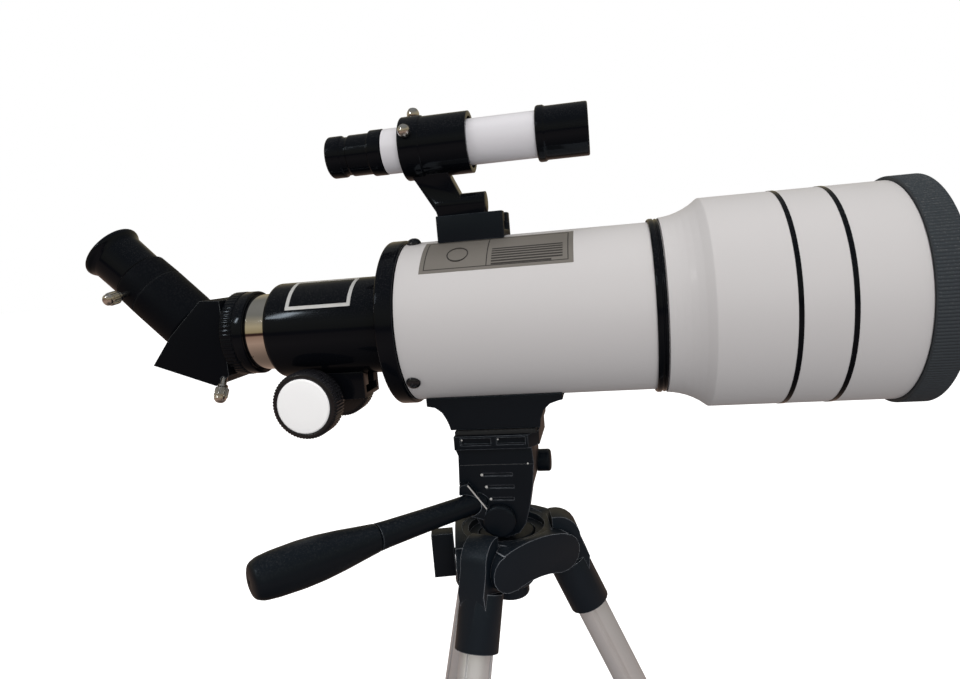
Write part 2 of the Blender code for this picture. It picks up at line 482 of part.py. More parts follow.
# ---- moving bodies, each on its joint's axis ----
carry('pan_axis', None, UPRIGHT, 'pan_base', 'pan_spindle')
carry('tilt_axis', 'pan_axis', TILT, 'tilt_body', 'tilt_pivot')
carry('handle_axis', 'tilt_axis', HANDLE, 'pan_handle', 'handle_grip')
carry('flip_knob_axis', 'tilt_axis', FLIP, 'flip_knob')
carry('flip_axis', 'tilt_axis', FLIP, 'head_platform', 'platform_pad', 'camera_screw', 'mount_foot',
      'main_tube', 'rear_cell', 'rear_cell_screw_1', 'rear_cell_screw_2', 'rear_cell_screw_3',
      'objective_cell', 'objective_lens', 'lens_ring', 'tube_band', 'focuser_body', 'pinion_block',
      'finder_base')
carry('shield_axis', 'flip_axis', AXIS_X, 'dew_shield', 'accent_band_1', 'accent_band_2', 'grip_ring')
carry('focus_axis', 'flip_axis', PINION, 'pinion_shaft', 'focus_knob_near', 'focus_knob_far')
carry('draw_axis', 'flip_axis', AXIS_X, 'draw_tube', 'draw_rack', 'adapter_ring')
carry('diagonal_axis', 'draw_axis', at(FOLD_X, 0, 0), 'prism_housing', 'prism', 'diagonal_barrel',
      'eyepiece_holder')
carry('housing_screw_axis', 'diagonal_axis', HOUSING_SCREW, 'housing_thumbscrew')
carry('holder_screw_axis', 'diagonal_axis', HOLDER_SCREW, 'holder_thumbscrew')
carry('eyepiece_axis', 'diagonal_axis', FOLD, 'eyepiece_body', 'eye_lens')
carry('bracket_axis', 'flip_axis', at(0, 0, 44), 'finder_bracket')
carry('finder_axis', 'bracket_axis', FINDER, 'finder_tube', 'finder_hood', 'finder_lens')
carry('finder_focus_axis', 'finder_axis', FINDER, 'finder_eyepiece')
for k, direction in enumerate(FINDER_SIDES):
    carry('finder_screw_axis_%d' % (k + 1), 'bracket_axis', towards(SCREW_X, 0, FINDER_Z, direction),
          'finder_screw_%d' % (k + 1))
carry('lock_axis', None, LOCK, 'pan_lock')
for k in range(3):
    hinge = turned(TURN + 120 * k) @ at(HINGE_R, 0, HINGE_Z, AXIS_Y)
    carry('leg_axis_%d' % (k + 1), None, hinge, 'leg_%d_sleeve' % (k + 1), 'leg_%d_tube' % (k + 1))
    carry('extend_axis_%d' % (k + 1), 'leg_axis_%d' % (k + 1), hinge, 'leg_%d_lower' % (k + 1))
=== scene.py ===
# %% [markdown]
# # A small refractor telescope on its tripod
# This lesson dresses a finished mechanical model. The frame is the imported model: it says where every piece
# sits and what it rides on. Each cell makes one piece or one finish and prints what came out of it.

# %% Load the frame
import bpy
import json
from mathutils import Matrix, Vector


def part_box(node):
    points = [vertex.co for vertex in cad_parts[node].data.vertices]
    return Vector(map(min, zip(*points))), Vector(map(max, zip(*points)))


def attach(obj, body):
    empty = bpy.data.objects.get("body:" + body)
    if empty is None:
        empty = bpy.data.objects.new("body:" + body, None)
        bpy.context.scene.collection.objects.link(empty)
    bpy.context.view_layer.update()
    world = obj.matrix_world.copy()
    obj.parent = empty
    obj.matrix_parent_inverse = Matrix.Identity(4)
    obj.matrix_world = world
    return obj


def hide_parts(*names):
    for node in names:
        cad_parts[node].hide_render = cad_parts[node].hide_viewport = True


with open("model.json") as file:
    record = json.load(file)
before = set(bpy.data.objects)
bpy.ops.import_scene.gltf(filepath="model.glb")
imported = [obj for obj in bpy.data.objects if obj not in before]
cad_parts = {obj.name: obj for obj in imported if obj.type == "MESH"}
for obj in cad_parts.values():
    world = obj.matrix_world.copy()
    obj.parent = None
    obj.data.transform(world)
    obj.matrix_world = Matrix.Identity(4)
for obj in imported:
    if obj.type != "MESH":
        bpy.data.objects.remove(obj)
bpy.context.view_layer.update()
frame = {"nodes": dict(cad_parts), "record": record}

# %% [markdown]
# ## Measuring in millimetres from the optical axis
# A telescope is easiest to think of along its optical axis, so every size below is in millimetres from the
# point of that axis above the pan axis: X towards the objective, Y away from the viewer, Z up. The point
# comes from the frame, where the tube gives the height and the pan spindle gives the place. The record says
# which body each node rides on and which finish slot it takes; a new piece borrows the body from a node.

# %% The working frame
import json
import math
import bpy
import bmesh
from mathutils import Matrix, Vector

MM = 0.001
tube_low, tube_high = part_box("main_tube")
spindle_low, spindle_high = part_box("pan_spindle")
HOME = Vector(((spindle_low[0] + spindle_high[0]) / 2, (spindle_low[1] + spindle_high[1]) / 2,
               (tube_low[2] + tube_high[2]) / 2))
BODY = {name: body for body, names in frame["record"]["behaviour"]["bodies"].items() for name in names}


def span(name):
    """Where a node starts and ends along the optical axis, in millimetres."""
    low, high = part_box(name)
    return (low[0] - HOME.x) / MM, (high[0] - HOME.x) / MM


def radius(name):
    """Half the width of a node that is turned about the optical axis, in millimetres."""
    low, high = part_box(name)
    return (high[1] - low[1]) / 2 / MM


TUBE_R = round(radius("main_tube"), 2)
SHIELD_R = round(radius("dew_shield"), 2)
FOCUSER_R = round(radius("focuser_body"), 2)
print("axis %.1f mm above the floor, tube radius %.1f, shield radius %.1f" % (HOME.z / MM, TUBE_R, SHIELD_R))

# %% [markdown]
# ## The camera
# The camera comes first, because it decides how fine each piece has to be. It stands a third of a metre
# away, a little above the axis and towards the objective, so the view is a strong close-up that makes the dew
# shield look much larger than the eyepiece. It is built from a heading, a dip and a roll, which read more
# easily than a matrix does.

# %% Camera
def add_camera(stand, heading, dip, roll, lens):
    data = bpy.data.cameras.new("Camera")
    data.sensor_width = 36.0
    data.lens = lens
    data.clip_start = 0.01
    camera = bpy.data.objects.new("Camera", data)
    bpy.context.scene.collection.objects.link(camera)
    h, d = math.radians(heading), math.radians(dip)
    forward = Vector((-math.sin(h) * math.cos(d), math.cos(h) * math.cos(d), -math.sin(d)))
    level = forward.to_track_quat('-Z', 'Y').to_matrix().to_4x4()
    turn = level @ Matrix.Rotation(-math.radians(roll), 4, 'Z')
    camera.matrix_world = Matrix.Translation(HOME + Vector(stand) * MM) @ turn
    bpy.context.scene.camera = camera
    return camera


camera = add_camera(stand=(57.7, -329.9, 31.3), heading=10.875, dip=7.22, roll=4.85, lens=24.95)
right, up, back = (camera.matrix_world.to_3x3() @ Vector(axis) for axis in ((1, 0, 0), (0, 1, 0), (0, 0, 1)))
print("camera right", [round(v, 3) for v in right], "back", [round(v, 3) for v in back])

# %% [markdown]
# ## The light
# The object stands in a white sweep, lit softly from the ceiling and from a window on the left. Black gloss
# plastic and chrome show whatever they face, so the world looks like a dim, warm room to mirror-like rays and
# like a bright white one to the rays that light the paint. That keeps black parts black and gives the chrome
# its tan and brown bands.

# %% World and lamps
def add_node(tree, kind, **values):
    """Adds a node and sets its properties, or its inputs, by name."""
    made = tree.nodes.new(kind)
    for key, value in values.items():
        if key in made.inputs:
            made.inputs[key].default_value = value
        else:
            setattr(made, key, value)
    return made


def add_ramp(tree, source, stops):
    """A colour ramp over (position, colour) stops."""
    made = tree.nodes.new("ShaderNodeValToRGB")
    while len(made.color_ramp.elements) < len(stops):
        made.color_ramp.elements.new(0.5)
    for element, (position, colour) in zip(made.color_ramp.elements, stops):
        element.position = position
        element.color = (*colour, 1)
    tree.links.new(source, made.inputs[0])
    return made.outputs["Color"]


ROOM = [(0.0, (0.05, 0.04, 0.035)), (0.30, (0.34, 0.24, 0.19)), (0.44, (0.26, 0.17, 0.13)),
        (0.47, (0.03, 0.012, 0.012)), (0.51, (0.035, 0.02, 0.015)), (0.53, (0.27, 0.22, 0.13)),
        (0.66, (0.36, 0.31, 0.21)), (0.85, (0.16, 0.16, 0.15)), (1.0, (0.2, 0.2, 0.2))]
SWEEP = [(0.0, (0.56, 0.55, 0.56)), (0.45, (0.86, 0.85, 0.86)), (1.0, (1.0, 0.99, 0.98))]


def light_the_room(strength):
    world = bpy.data.worlds.new("White room")
    world.use_nodes = True
    tree = world.node_tree
    tree.nodes.clear()
    place = add_node(tree, "ShaderNodeTexCoord")
    axes = add_node(tree, "ShaderNodeSeparateXYZ")
    tree.links.new(place.outputs["Generated"], axes.inputs[0])
    half = add_node(tree, "ShaderNodeMapRange", **{"From Min": -1.0, "From Max": 1.0})
    tree.links.new(axes.outputs["Z"], half.inputs["Value"])
    seen = add_node(tree, "ShaderNodeLightPath")
    white = add_node(tree, "ShaderNodeBackground", Strength=strength)
    mirror = add_node(tree, "ShaderNodeBackground", Strength=1.0)
    backdrop = add_node(tree, "ShaderNodeBackground", Color=(1, 1, 1, 1), Strength=1.0)
    tree.links.new(add_ramp(tree, half.outputs[0], ROOM), mirror.inputs["Color"])
    tree.links.new(add_ramp(tree, half.outputs[0], SWEEP), white.inputs["Color"])
    shown = white
    for ray, other in (("Is Glossy Ray", mirror), ("Is Camera Ray", backdrop)):
        mix = add_node(tree, "ShaderNodeMixShader")
        tree.links.new(seen.outputs[ray], mix.inputs[0])
        tree.links.new(shown.outputs[0], mix.inputs[1])
        tree.links.new(other.outputs[0], mix.inputs[2])
        shown = mix
    out = add_node(tree, "ShaderNodeOutputWorld")
    tree.links.new(shown.outputs[0], out.inputs[0])
    bpy.context.scene.world = world


def add_softbox(name, place, size, power, colour=(1, 1, 1), mirrored=True):
    """A rectangular lamp that faces the middle of the telescope. Gloss shows it only if it's mirrored."""
    data = bpy.data.lights.new(name, 'AREA')
    data.shape = 'RECTANGLE'
    data.size, data.size_y = size
    data.energy = power
    data.color = colour
    lamp = bpy.data.objects.new(name, data)
    bpy.context.scene.collection.objects.link(lamp)
    lamp.location = HOME + Vector(place) * MM
    lamp.rotation_euler = (HOME - lamp.location).to_track_quat('-Z', 'Y').to_euler()
    lamp.visible_glossy = mirrored
    return lamp


bpy.context.scene.view_settings.view_transform = 'Standard'
light_the_room(0.56)
add_softbox("Window", (-900, -1000, 900), (0.12, 0.3), 2.2, (1.0, 0.98, 0.96))
add_softbox("Ceiling", (150, -150, 1500), (1.2, 1.0), 9.0, (1.0, 0.99, 0.97), mirrored=False)
add_softbox("Fill", (500, -1500, 350), (0.9, 1.0), 10.0, (1.0, 0.99, 0.98), mirrored=False)

# %% [markdown]
# ## Effects that several finishes share
# A node group is built once and used in many materials, like a function. Fine grain is the tiny unevenness of
# moulded plastic or sprayed paint. Edge wear and highlight finds where a surface bends sharply: corners are
# rubbed first, and the pale colour there also paints the highlight that a rounded edge catches. Dust and
# smudges mark what settles on top and what fingers leave. Turned lines are the marks that a lathe's tool
# leaves around a part.

# %% Shared effects
def new_group(name, inputs, outputs):
    """An empty group with number inputs, given with their defaults, and number outputs."""
    made = bpy.data.node_groups.new(name, 'ShaderNodeTree')
    for label, value in inputs:
        socket = made.interface.new_socket(label, in_out='INPUT', socket_type='NodeSocketFloat')
        socket.default_value = value
    for label in outputs:
        made.interface.new_socket(label, in_out='OUTPUT', socket_type='NodeSocketFloat')
    return made, made.nodes.new('NodeGroupInput'), made.nodes.new('NodeGroupOutput')


def fine_grain():
    tree, given, result = new_group("Fine grain", [("Scale", 900.0)], ["Height"])
    place = add_node(tree, "ShaderNodeTexCoord")
    grain = add_node(tree, "ShaderNodeTexNoise", Detail=3.0, Roughness=0.6)
    tree.links.new(place.outputs["Object"], grain.inputs["Vector"])
    tree.links.new(given.outputs["Scale"], grain.inputs["Scale"])
    tree.links.new(grain.outputs["Fac"], result.inputs["Height"])
    return tree


# Pale edges: part rubbed wear, part a painted highlight standing in for light on rounded edges.
def edge_wear_and_highlight():
    tree, given, result = new_group("Edge wear", [("Reach", 0.0006), ("Amount", 1.0)], ["Mask"])
    bevel = add_node(tree, "ShaderNodeBevel", samples=4)
    tree.links.new(given.outputs["Reach"], bevel.inputs["Radius"])
    face = add_node(tree, "ShaderNodeNewGeometry")
    dot = add_node(tree, "ShaderNodeVectorMath", operation='DOT_PRODUCT')
    tree.links.new(bevel.outputs[0], dot.inputs[0])
    tree.links.new(face.outputs["Normal"], dot.inputs[1])
    bend = add_node(tree, "ShaderNodeMapRange", **{"From Min": 0.98, "From Max": 0.86})
    tree.links.new(dot.outputs["Value"], bend.inputs["Value"])
    place = add_node(tree, "ShaderNodeTexCoord")
    break_up = add_node(tree, "ShaderNodeTexNoise", Scale=260.0, Detail=4.0)
    tree.links.new(place.outputs["Object"], break_up.inputs["Vector"])
    patchy = add_node(tree, "ShaderNodeMath", operation='MULTIPLY')
    tree.links.new(bend.outputs[0], patchy.inputs[0])
    tree.links.new(break_up.outputs["Fac"], patchy.inputs[1])
    scaled = add_node(tree, "ShaderNodeMath", operation='MULTIPLY', use_clamp=True)
    tree.links.new(patchy.outputs[0], scaled.inputs[0])
    tree.links.new(given.outputs["Amount"], scaled.inputs[1])
    tree.links.new(scaled.outputs[0], result.inputs["Mask"])
    return tree


def dust_and_smudges():
    tree, given, result = new_group("Dust and smudges", [("Dust", 0.3), ("Smudges", 0.3)], ["Dust", "Smudge"])
    place = add_node(tree, "ShaderNodeTexCoord")
    face = add_node(tree, "ShaderNodeNewGeometry")
    axes = add_node(tree, "ShaderNodeSeparateXYZ")
    tree.links.new(face.outputs["Normal"], axes.inputs[0])
    upward = add_node(tree, "ShaderNodeMapRange", **{"From Min": 0.2, "From Max": 1.0})
    tree.links.new(axes.outputs["Z"], upward.inputs["Value"])
    specks = add_node(tree, "ShaderNodeTexNoise", Scale=1500.0, Detail=2.0)
    smear = add_node(tree, "ShaderNodeTexNoise", Scale=60.0, Detail=5.0, Distortion=1.2)
    for texture, low, high, start, socket in ((specks, 0.5, 0.75, upward, "Dust"),
                                              (smear, 0.45, 0.7, None, "Smudge")):
        tree.links.new(place.outputs["Object"], texture.inputs["Vector"])
        cut = add_node(tree, "ShaderNodeMapRange", **{"From Min": low, "From Max": high})
        tree.links.new(texture.outputs["Fac"], cut.inputs["Value"])
        last = cut
        if start:
            last = add_node(tree, "ShaderNodeMath", operation='MULTIPLY')
            tree.links.new(cut.outputs[0], last.inputs[0])
            tree.links.new(start.outputs[0], last.inputs[1])
        amount = add_node(tree, "ShaderNodeMath", operation='MULTIPLY')
        tree.links.new(last.outputs[0], amount.inputs[0])
        tree.links.new(given.outputs["Dust" if socket == "Dust" else "Smudges"], amount.inputs[1])
        tree.links.new(amount.outputs[0], result.inputs[socket])
    return tree


def turned_lines():
    tree, given, result = new_group("Turned lines", [("Scale", 900.0)], ["Height"])
    place = add_node(tree, "ShaderNodeTexCoord")
    wave = add_node(tree, "ShaderNodeTexWave", bands_direction='X', Distortion=2.0, Detail=2.0)
    tree.links.new(place.outputs["Object"], wave.inputs["Vector"])
    tree.links.new(given.outputs["Scale"], wave.inputs["Scale"])
    tree.links.new(wave.outputs["Fac"], result.inputs["Height"])
    return tree


GRAIN, WEAR_AND_HIGHLIGHT, DIRT, LINES = fine_grain(), edge_wear_and_highlight(), dust_and_smudges(), turned_lines()
print("shared effects:", [tree.name for tree in (GRAIN, WEAR_AND_HIGHLIGHT, DIRT, LINES)])

# %% [markdown]
# ## One function for every opaque finish
# Each finish is a Principled shader with its plain colour, roughness and metallic value, and whichever shared
# effects it calls for. Edge wear with its painted highlight, and dust, mix a second colour in; smudges change
# only the roughness; grain and turned lines feed a bump. A finish that takes no effect keeps its plain
# values.

# %% Finish builder
def place_group(tree, group, **values):
    made = tree.nodes.new('ShaderNodeGroup')
    made.node_tree = group
    for key, value in values.items():
        made.inputs[key].default_value = value
    return made


def mix_colour(tree, mask, first, second):
    """Blends from the first colour, a value or a socket, to the second by the mask."""
    mix = add_node(tree, "ShaderNodeMix", data_type='RGBA')
    tree.links.new(mask, mix.inputs["Factor"])
    if isinstance(first, tuple):
        mix.inputs[6].default_value = (*first, 1)
    else:
        tree.links.new(first, mix.inputs[6])
    mix.inputs[7].default_value = (*second, 1)
    return mix.outputs[2]


def finish(name, colour, roughness, metallic=0.0, coat=0.0, specular=0.5, tint=(1, 1, 1), grain=None,
           wear_and_highlight=None, dust=0.0, smudge=0.0, lines=None):
    """grain and lines are (scale, height in mm); wear_and_highlight is (amount, colour): pale edges that are
    part wear, part painted highlight.
    """
    material = bpy.data.materials.new(name)
    material.use_nodes = True
    tree = material.node_tree
    shader = tree.nodes["Principled BSDF"]
    shader.inputs["Base Color"].default_value = (*colour, 1)
    shader.inputs["Roughness"].default_value = roughness
    shader.inputs["Metallic"].default_value = metallic
    shader.inputs["Coat Weight"].default_value = coat
    shader.inputs["Specular IOR Level"].default_value = specular
    shader.inputs["Specular Tint"].default_value = (*tint, 1)
    shader.inputs["Coat Roughness"].default_value = 0.08
    shown = colour
    # The pale edge colour is part wear, part painted highlight.
    if wear_and_highlight:
        mask = place_group(tree, WEAR_AND_HIGHLIGHT, Amount=wear_and_highlight[0])
        shown = mix_colour(tree, mask.outputs["Mask"], shown, wear_and_highlight[1])
    if dust or smudge:
        dirt = place_group(tree, DIRT, Dust=dust, Smudges=smudge)
        if dust:
            shown = mix_colour(tree, dirt.outputs["Dust"], shown, (0.42, 0.4, 0.37))
        rough = add_node(tree, "ShaderNodeMix")
        rough.inputs[2].default_value = roughness
        rough.inputs[3].default_value = min(1.0, roughness + 0.3)
        tree.links.new(dirt.outputs["Smudge"], rough.inputs["Factor"])
        tree.links.new(rough.outputs[0], shader.inputs["Roughness"])
    if shown is not colour:
        tree.links.new(shown, shader.inputs["Base Color"])
    for group, setting in ((GRAIN, grain), (LINES, lines)):
        if setting:
            texture = place_group(tree, group, Scale=setting[0])
            bump = add_node(tree, "ShaderNodeBump", Strength=1.0, Distance=setting[1] * MM)
            tree.links.new(texture.outputs["Height"], bump.inputs["Height"])
            tree.links.new(bump.outputs[0], shader.inputs["Normal"])
    return material


# %% [markdown]
# ## Paint, plastic and rubber
# The tube is sprayed in a warm white enamel with a very slight orange peel. The focuser, finder and eyepiece
# parts are moulded in glossy black plastic. The head and the tripod's shoulder are a cooler black with a fine
# satin grain whose pale edges are part rubbing, part painted highlight. Rubber is rougher still and a little
# blue.

# %% Paint, plastic and rubber
COOL = (0.72, 0.86, 1.0)
WHITE = finish("White enamel", (0.57, 0.555, 0.555), 0.5, coat=0.06, grain=(420, 0.004), smudge=0.2)
FINDER_WHITE = finish("Finder white", (0.68, 0.67, 0.70), 0.35, coat=0.2, grain=(500, 0.003), smudge=0.2)
# The pale edge colours on the black finishes are part wear, part painted highlight.
GLOSS = finish("Gloss black", (0.003, 0.0035, 0.005), 0.1, specular=0.2, tint=COOL, grain=(160, 0.004),
               dust=0.05, smudge=0.15, wear_and_highlight=(0.25, (0.10, 0.10, 0.11)))
SATIN = finish("Satin black", (0.0035, 0.0055, 0.0085), 0.38, specular=0.28, tint=COOL, grain=(2600, 0.012),
               dust=0.06, smudge=0.25, wear_and_highlight=(1.1, (0.22, 0.24, 0.27)))
MATTE = finish("Matte black", (0.0025, 0.003, 0.0045), 0.5, specular=0.1, tint=COOL, grain=(3200, 0.012),
               dust=0.04, wear_and_highlight=(0.9, (0.19, 0.2, 0.21)))
SHELL = finish("Tripod black", (0.006, 0.0095, 0.0145), 0.4, specular=0.36, tint=COOL, grain=(2200, 0.014),
               dust=0.08, smudge=0.35, wear_and_highlight=(1.4, (0.3, 0.32, 0.35)))
KNOB = finish("Knob black", (0.008, 0.008, 0.01), 0.22, smudge=0.2, wear_and_highlight=(0.7, (0.16, 0.16, 0.18)))
RUBBER = finish("Slate rubber", (0.03, 0.038, 0.046), 0.62, grain=(2400, 0.01), dust=0.25)
PAD = finish("Pad rubber", (0.01, 0.012, 0.014), 0.75, grain=(1500, 0.05), dust=0.15)
BLACK_SCREW = finish("Black screw", (0.008, 0.009, 0.012), 0.16, smudge=0.1, wear_and_highlight=(0.6, (0.2, 0.2, 0.22)))
INSIDE = finish("Flat black inside", (0.01, 0.01, 0.011), 0.85, grain=(1800, 0.02))
print("plain finishes ready")

# %% [markdown]
# ## Metals, plates and glass
# The draw tube is mirror chrome. The clamping screws are bright turned steel, the legs are anodised aluminium
# and the rack is brass. The knob faces are brushed and lacquered so pale that they read as white. The label
# is a grey-brown metal foil with darker print. Lens glass has a faint blue-green coating.

# %% Metals, plates and glass
CHROME = finish("Chrome", (0.86, 0.84, 0.8), 0.05, metallic=1.0, smudge=0.08)
STEEL = finish("Bright steel", (0.78, 0.77, 0.75), 0.2, metallic=1.0, lines=(2400, 0.004), smudge=0.3)
ALUMINIUM = finish("Anodised aluminium", (0.7, 0.7, 0.71), 0.36, metallic=0.55, grain=(1400, 0.004),
                   smudge=0.3)
BRASS = finish("Brass", (0.62, 0.47, 0.22), 0.3, metallic=1.0, smudge=0.3)
KNOB_FACE = finish("Knob face", (1.0, 1.0, 1.0), 0.4, metallic=0.0, lines=(1500, 0.002), smudge=0.2)
PLATE = finish("Label foil", (0.21, 0.195, 0.175), 0.42, metallic=0.3, grain=(900, 0.003))
PRINT = finish("Label print", (0.035, 0.032, 0.03), 0.5, grain=(900, 0.003))
# Pale silver: the printed outline, and also the painted glints and painted edge highlight on the head.
SILVER_LINE_AND_GLINT = finish("Silver line and glint", (0.62, 0.62, 0.61), 0.35, metallic=0.35, grain=(900, 0.003))


def coated_glass():
    material = bpy.data.materials.new("Coated glass")
    material.use_nodes = True
    tree = material.node_tree
    shader = tree.nodes["Principled BSDF"]
    shader.inputs["Base Color"].default_value = (0.75, 0.88, 0.9, 1)
    shader.inputs["Roughness"].default_value = 0.03
    shader.inputs["IOR"].default_value = 1.52
    shader.inputs["Transmission Weight"].default_value = 0.9
    shader.inputs["Specular Tint"].default_value = (0.7, 0.85, 1.0, 1)
    dirt = place_group(tree, DIRT, Dust=0.2, Smudges=0.3)
    rough = add_node(tree, "ShaderNodeMix")
    rough.inputs[2].default_value = 0.03
    rough.inputs[3].default_value = 0.12
    tree.links.new(dirt.outputs["Smudge"], rough.inputs["Factor"])
    tree.links.new(rough.outputs[0], shader.inputs["Roughness"])
    return material


GLASS = coated_glass()
print("materials:", len(bpy.data.materials))

# %% [markdown]
# ## Tools that make shapes
# Most of a telescope is turned on a lathe, so one tool spins an outline of (x, radius) points about the
# X axis. Real corners are never knife sharp, so `soften` rounds each one first: the round edge is what
# catches the light. Ribs or a knurl are cut by letting the radius rise and fall around the turn. Parts that
# aren't turned start from the mechanical solid: `refined` joins its flat faces up, takes extra cuts and
# rounds its edges with a Bevel.

# %% Placing and finishing pieces
def at(x, y, z, turn=Matrix.Identity(4)):
    return Matrix.Translation((x, y, z)) @ turn


def towards(x, y, z, direction):
    """A frame whose X axis runs along the direction."""
    return at(x, y, z, Vector(direction).to_track_quat('X', 'Z').to_matrix().to_4x4())


ALONG = at(0, 0, 0)
ACROSS = Matrix.Rotation(math.radians(90), 4, 'Z')      # X runs away from the viewer
UPRIGHT = Matrix.Rotation(math.radians(-90), 4, 'Y')    # X runs up


def world_place(place):
    """A place in millimetres as a matrix in the scene's metres."""
    spot = place.copy()
    spot.translation *= MM
    return Matrix.Translation(HOME) @ spot


def make_object(name, verts, faces, place):
    mesh = bpy.data.meshes.new(name)
    mesh.from_pydata([Vector(v) * MM for v in verts], [], faces)
    bm = bmesh.new()
    bm.from_mesh(mesh)
    bmesh.ops.recalc_face_normals(bm, faces=bm.faces)
    if bm.calc_volume(signed=True) < 0:
        bmesh.ops.reverse_faces(bm, faces=bm.faces)
    bm.to_mesh(mesh)
    bm.free()
    obj = bpy.data.objects.new(name, mesh)
    bpy.context.scene.collection.objects.link(obj)
    obj.matrix_world = world_place(place)
    return obj


def smooth(obj, angle=35):
    obj.data.polygons.foreach_set('use_smooth', [True] * len(obj.data.polygons))
    obj.data.set_sharp_from_angle(angle=math.radians(angle))


def settle(obj, material, *nodes, on=None):
    """Gives a piece its finish and lets it ride with the nodes it stands for, or with the node it's on."""
    host = on or nodes[0]
    obj.data.materials.clear()
    obj.data.materials.append(material)
    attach(obj, BODY[host])
    if nodes:
        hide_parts(*nodes)
    return obj


# %% [markdown]
# ### The lathe
# An outline whose first radius isn't zero is closed into a ring. One that starts and ends on the axis makes a
# solid, with a fan of triangles at each end.

# %% Turning on a lathe
def soften(points, amount, closed, steps=3):
    """Rounds each corner, by the amount or as much as its neighbours leave room for."""
    out = []
    count = len(points)
    for k, point in enumerate(points):
        if not closed and k in (0, count - 1):
            out.append(point)
            continue
        here = Vector(point)
        before = Vector(points[k - 1]) - here
        after = Vector(points[(k + 1) % count]) - here
        reach = min(amount, before.length * 0.45, after.length * 0.45)
        start = here + before.normalized() * reach
        end = here + after.normalized() * reach
        for s in range(steps + 1):
            t = s / steps
            spot = start * (1 - t) ** 2 + here * 2 * t * (1 - t) + end * t ** 2
            out.append((spot.x, spot.y))
    return out


def turned(name, profile, place=ALONG, steps=128, soft=0.4, ribs=None):
    """ribs is (first x, last x, inner radius, count, depth): the band of the outline that is grooved."""
    closed = profile[0][1] > 0
    points = soften(profile, soft, closed)
    if ribs:
        low, high, least, count, depth = ribs
        steps = count * 6
    verts, rings = [], []
    for x, r in points:
        if r < 1e-6:
            rings.append([len(verts)])
            verts.append((x, 0, 0))
            continue
        rings.append(list(range(len(verts), len(verts) + steps)))
        for k in range(steps):
            turn = 2 * math.pi * k / steps
            out = r
            if ribs and low <= x <= high and r > least:
                out = r - depth * max(0.0, math.cos(count * turn)) ** 0.7
            verts.append((x, -out * math.sin(turn), out * math.cos(turn)))
    faces = []
    pairs = list(zip(rings, rings[1:] + rings[:1])) if closed else list(zip(rings, rings[1:]))
    for a, b in pairs:
        for k in range(steps):
            j = (k + 1) % steps
            if len(a) > 1 and len(b) > 1:
                faces.append((a[k], a[j], b[j], b[k]))
            elif len(a) > 1:
                faces.append((a[k], a[j], b[0]))
            elif len(b) > 1:
                faces.append((a[0], b[j], b[k]))
    obj = make_object(name, verts, faces, place)
    smooth(obj)
    return obj


# %% [markdown]
# ### Cutting, refining and bent plates
# A Boolean cuts slots and bores, and a Bevel then rounds only the edges that bend sharply. The label and the
# outline on the focuser are thin plates bent round the tube they are glued to.

# %% Cutting, refining and plates
def prism_of(name, outline, y0, y1, place=ALONG):
    """The outline of (x, z) points made solid between y0 and y1."""
    m = len(outline)
    verts = [(x, y0, z) for x, z in outline] + [(x, y1, z) for x, z in outline]
    faces = [tuple(range(m)), tuple(range(2 * m - 1, m - 1, -1))]
    faces += [(k, (k + 1) % m, m + (k + 1) % m, m + k) for k in range(m)]
    return make_object(name, verts, faces, place)


def block(name, x, y, z, place=ALONG):
    return prism_of(name, [(x[0], z[0]), (x[1], z[0]), (x[1], z[1]), (x[0], z[1])], y[0], y[1], place)


def carve(obj, cutters, bevel=0.0):
    """Cuts the cutters away, rounds the edges that are left, and makes the result plain mesh."""
    for cutter in cutters:
        cut = obj.modifiers.new("Cut", 'BOOLEAN')
        cut.operation = 'DIFFERENCE'
        cut.solver = 'EXACT'
        cut.object = cutter
    if bevel:
        edge = obj.modifiers.new("Edges", 'BEVEL')
        edge.width = bevel * MM
        edge.segments = 3
        edge.limit_method = 'ANGLE'
        edge.angle_limit = math.radians(32)
    bpy.context.view_layer.update()
    mesh = bpy.data.meshes.new_from_object(obj.evaluated_get(bpy.context.evaluated_depsgraph_get()))
    obj.modifiers.clear()
    obj.data = mesh
    for cutter in cutters:
        bpy.data.objects.remove(cutter)
    smooth(obj)
    return obj


def refined(node, material, bevel=0.5, cutters=()):
    """A finer copy of a mechanical node, with its flat faces joined up and its edges rounded."""
    mesh = frame["nodes"][node].data.copy()
    bm = bmesh.new()
    bm.from_mesh(mesh)
    bmesh.ops.remove_doubles(bm, verts=bm.verts, dist=1e-6)
    bmesh.ops.dissolve_limit(bm, angle_limit=math.radians(0.7), verts=bm.verts, edges=bm.edges)
    bm.to_mesh(mesh)
    bm.free()
    obj = bpy.data.objects.new(node + "_fine", mesh)
    bpy.context.scene.collection.objects.link(obj)
    carve(obj, list(cutters), bevel)
    return settle(obj, material, node)


def wrapped(name, x, angle, r, thick, steps=24):
    """A thin plate bent round the optical axis: angles are in degrees from the top towards the viewer."""
    verts = []
    for out in (r, r + thick):
        for k in range(steps + 1):
            turn = math.radians(angle[0] + (angle[1] - angle[0]) * k / steps)
            verts += [(x[0], -out * math.sin(turn), out * math.cos(turn)),
                      (x[1], -out * math.sin(turn), out * math.cos(turn))]
    top = 2 * (steps + 1)
    faces = [(0, 1, top + 1, top), (top - 2, 2 * top - 2, 2 * top - 1, top - 1)]
    for k in range(0, 2 * steps, 2):
        faces += [(k, k + 2, k + 3, k + 1), (top + k, top + k + 1, top + k + 3, top + k + 2),
                  (k, top + k, top + k + 2, k + 2), (k + 1, k + 3, top + k + 3, top + k + 1)]
    obj = make_object(name, verts, faces, ALONG)
    smooth(obj)
    return obj


print("tools ready: turned, refined, wrapped, carve")

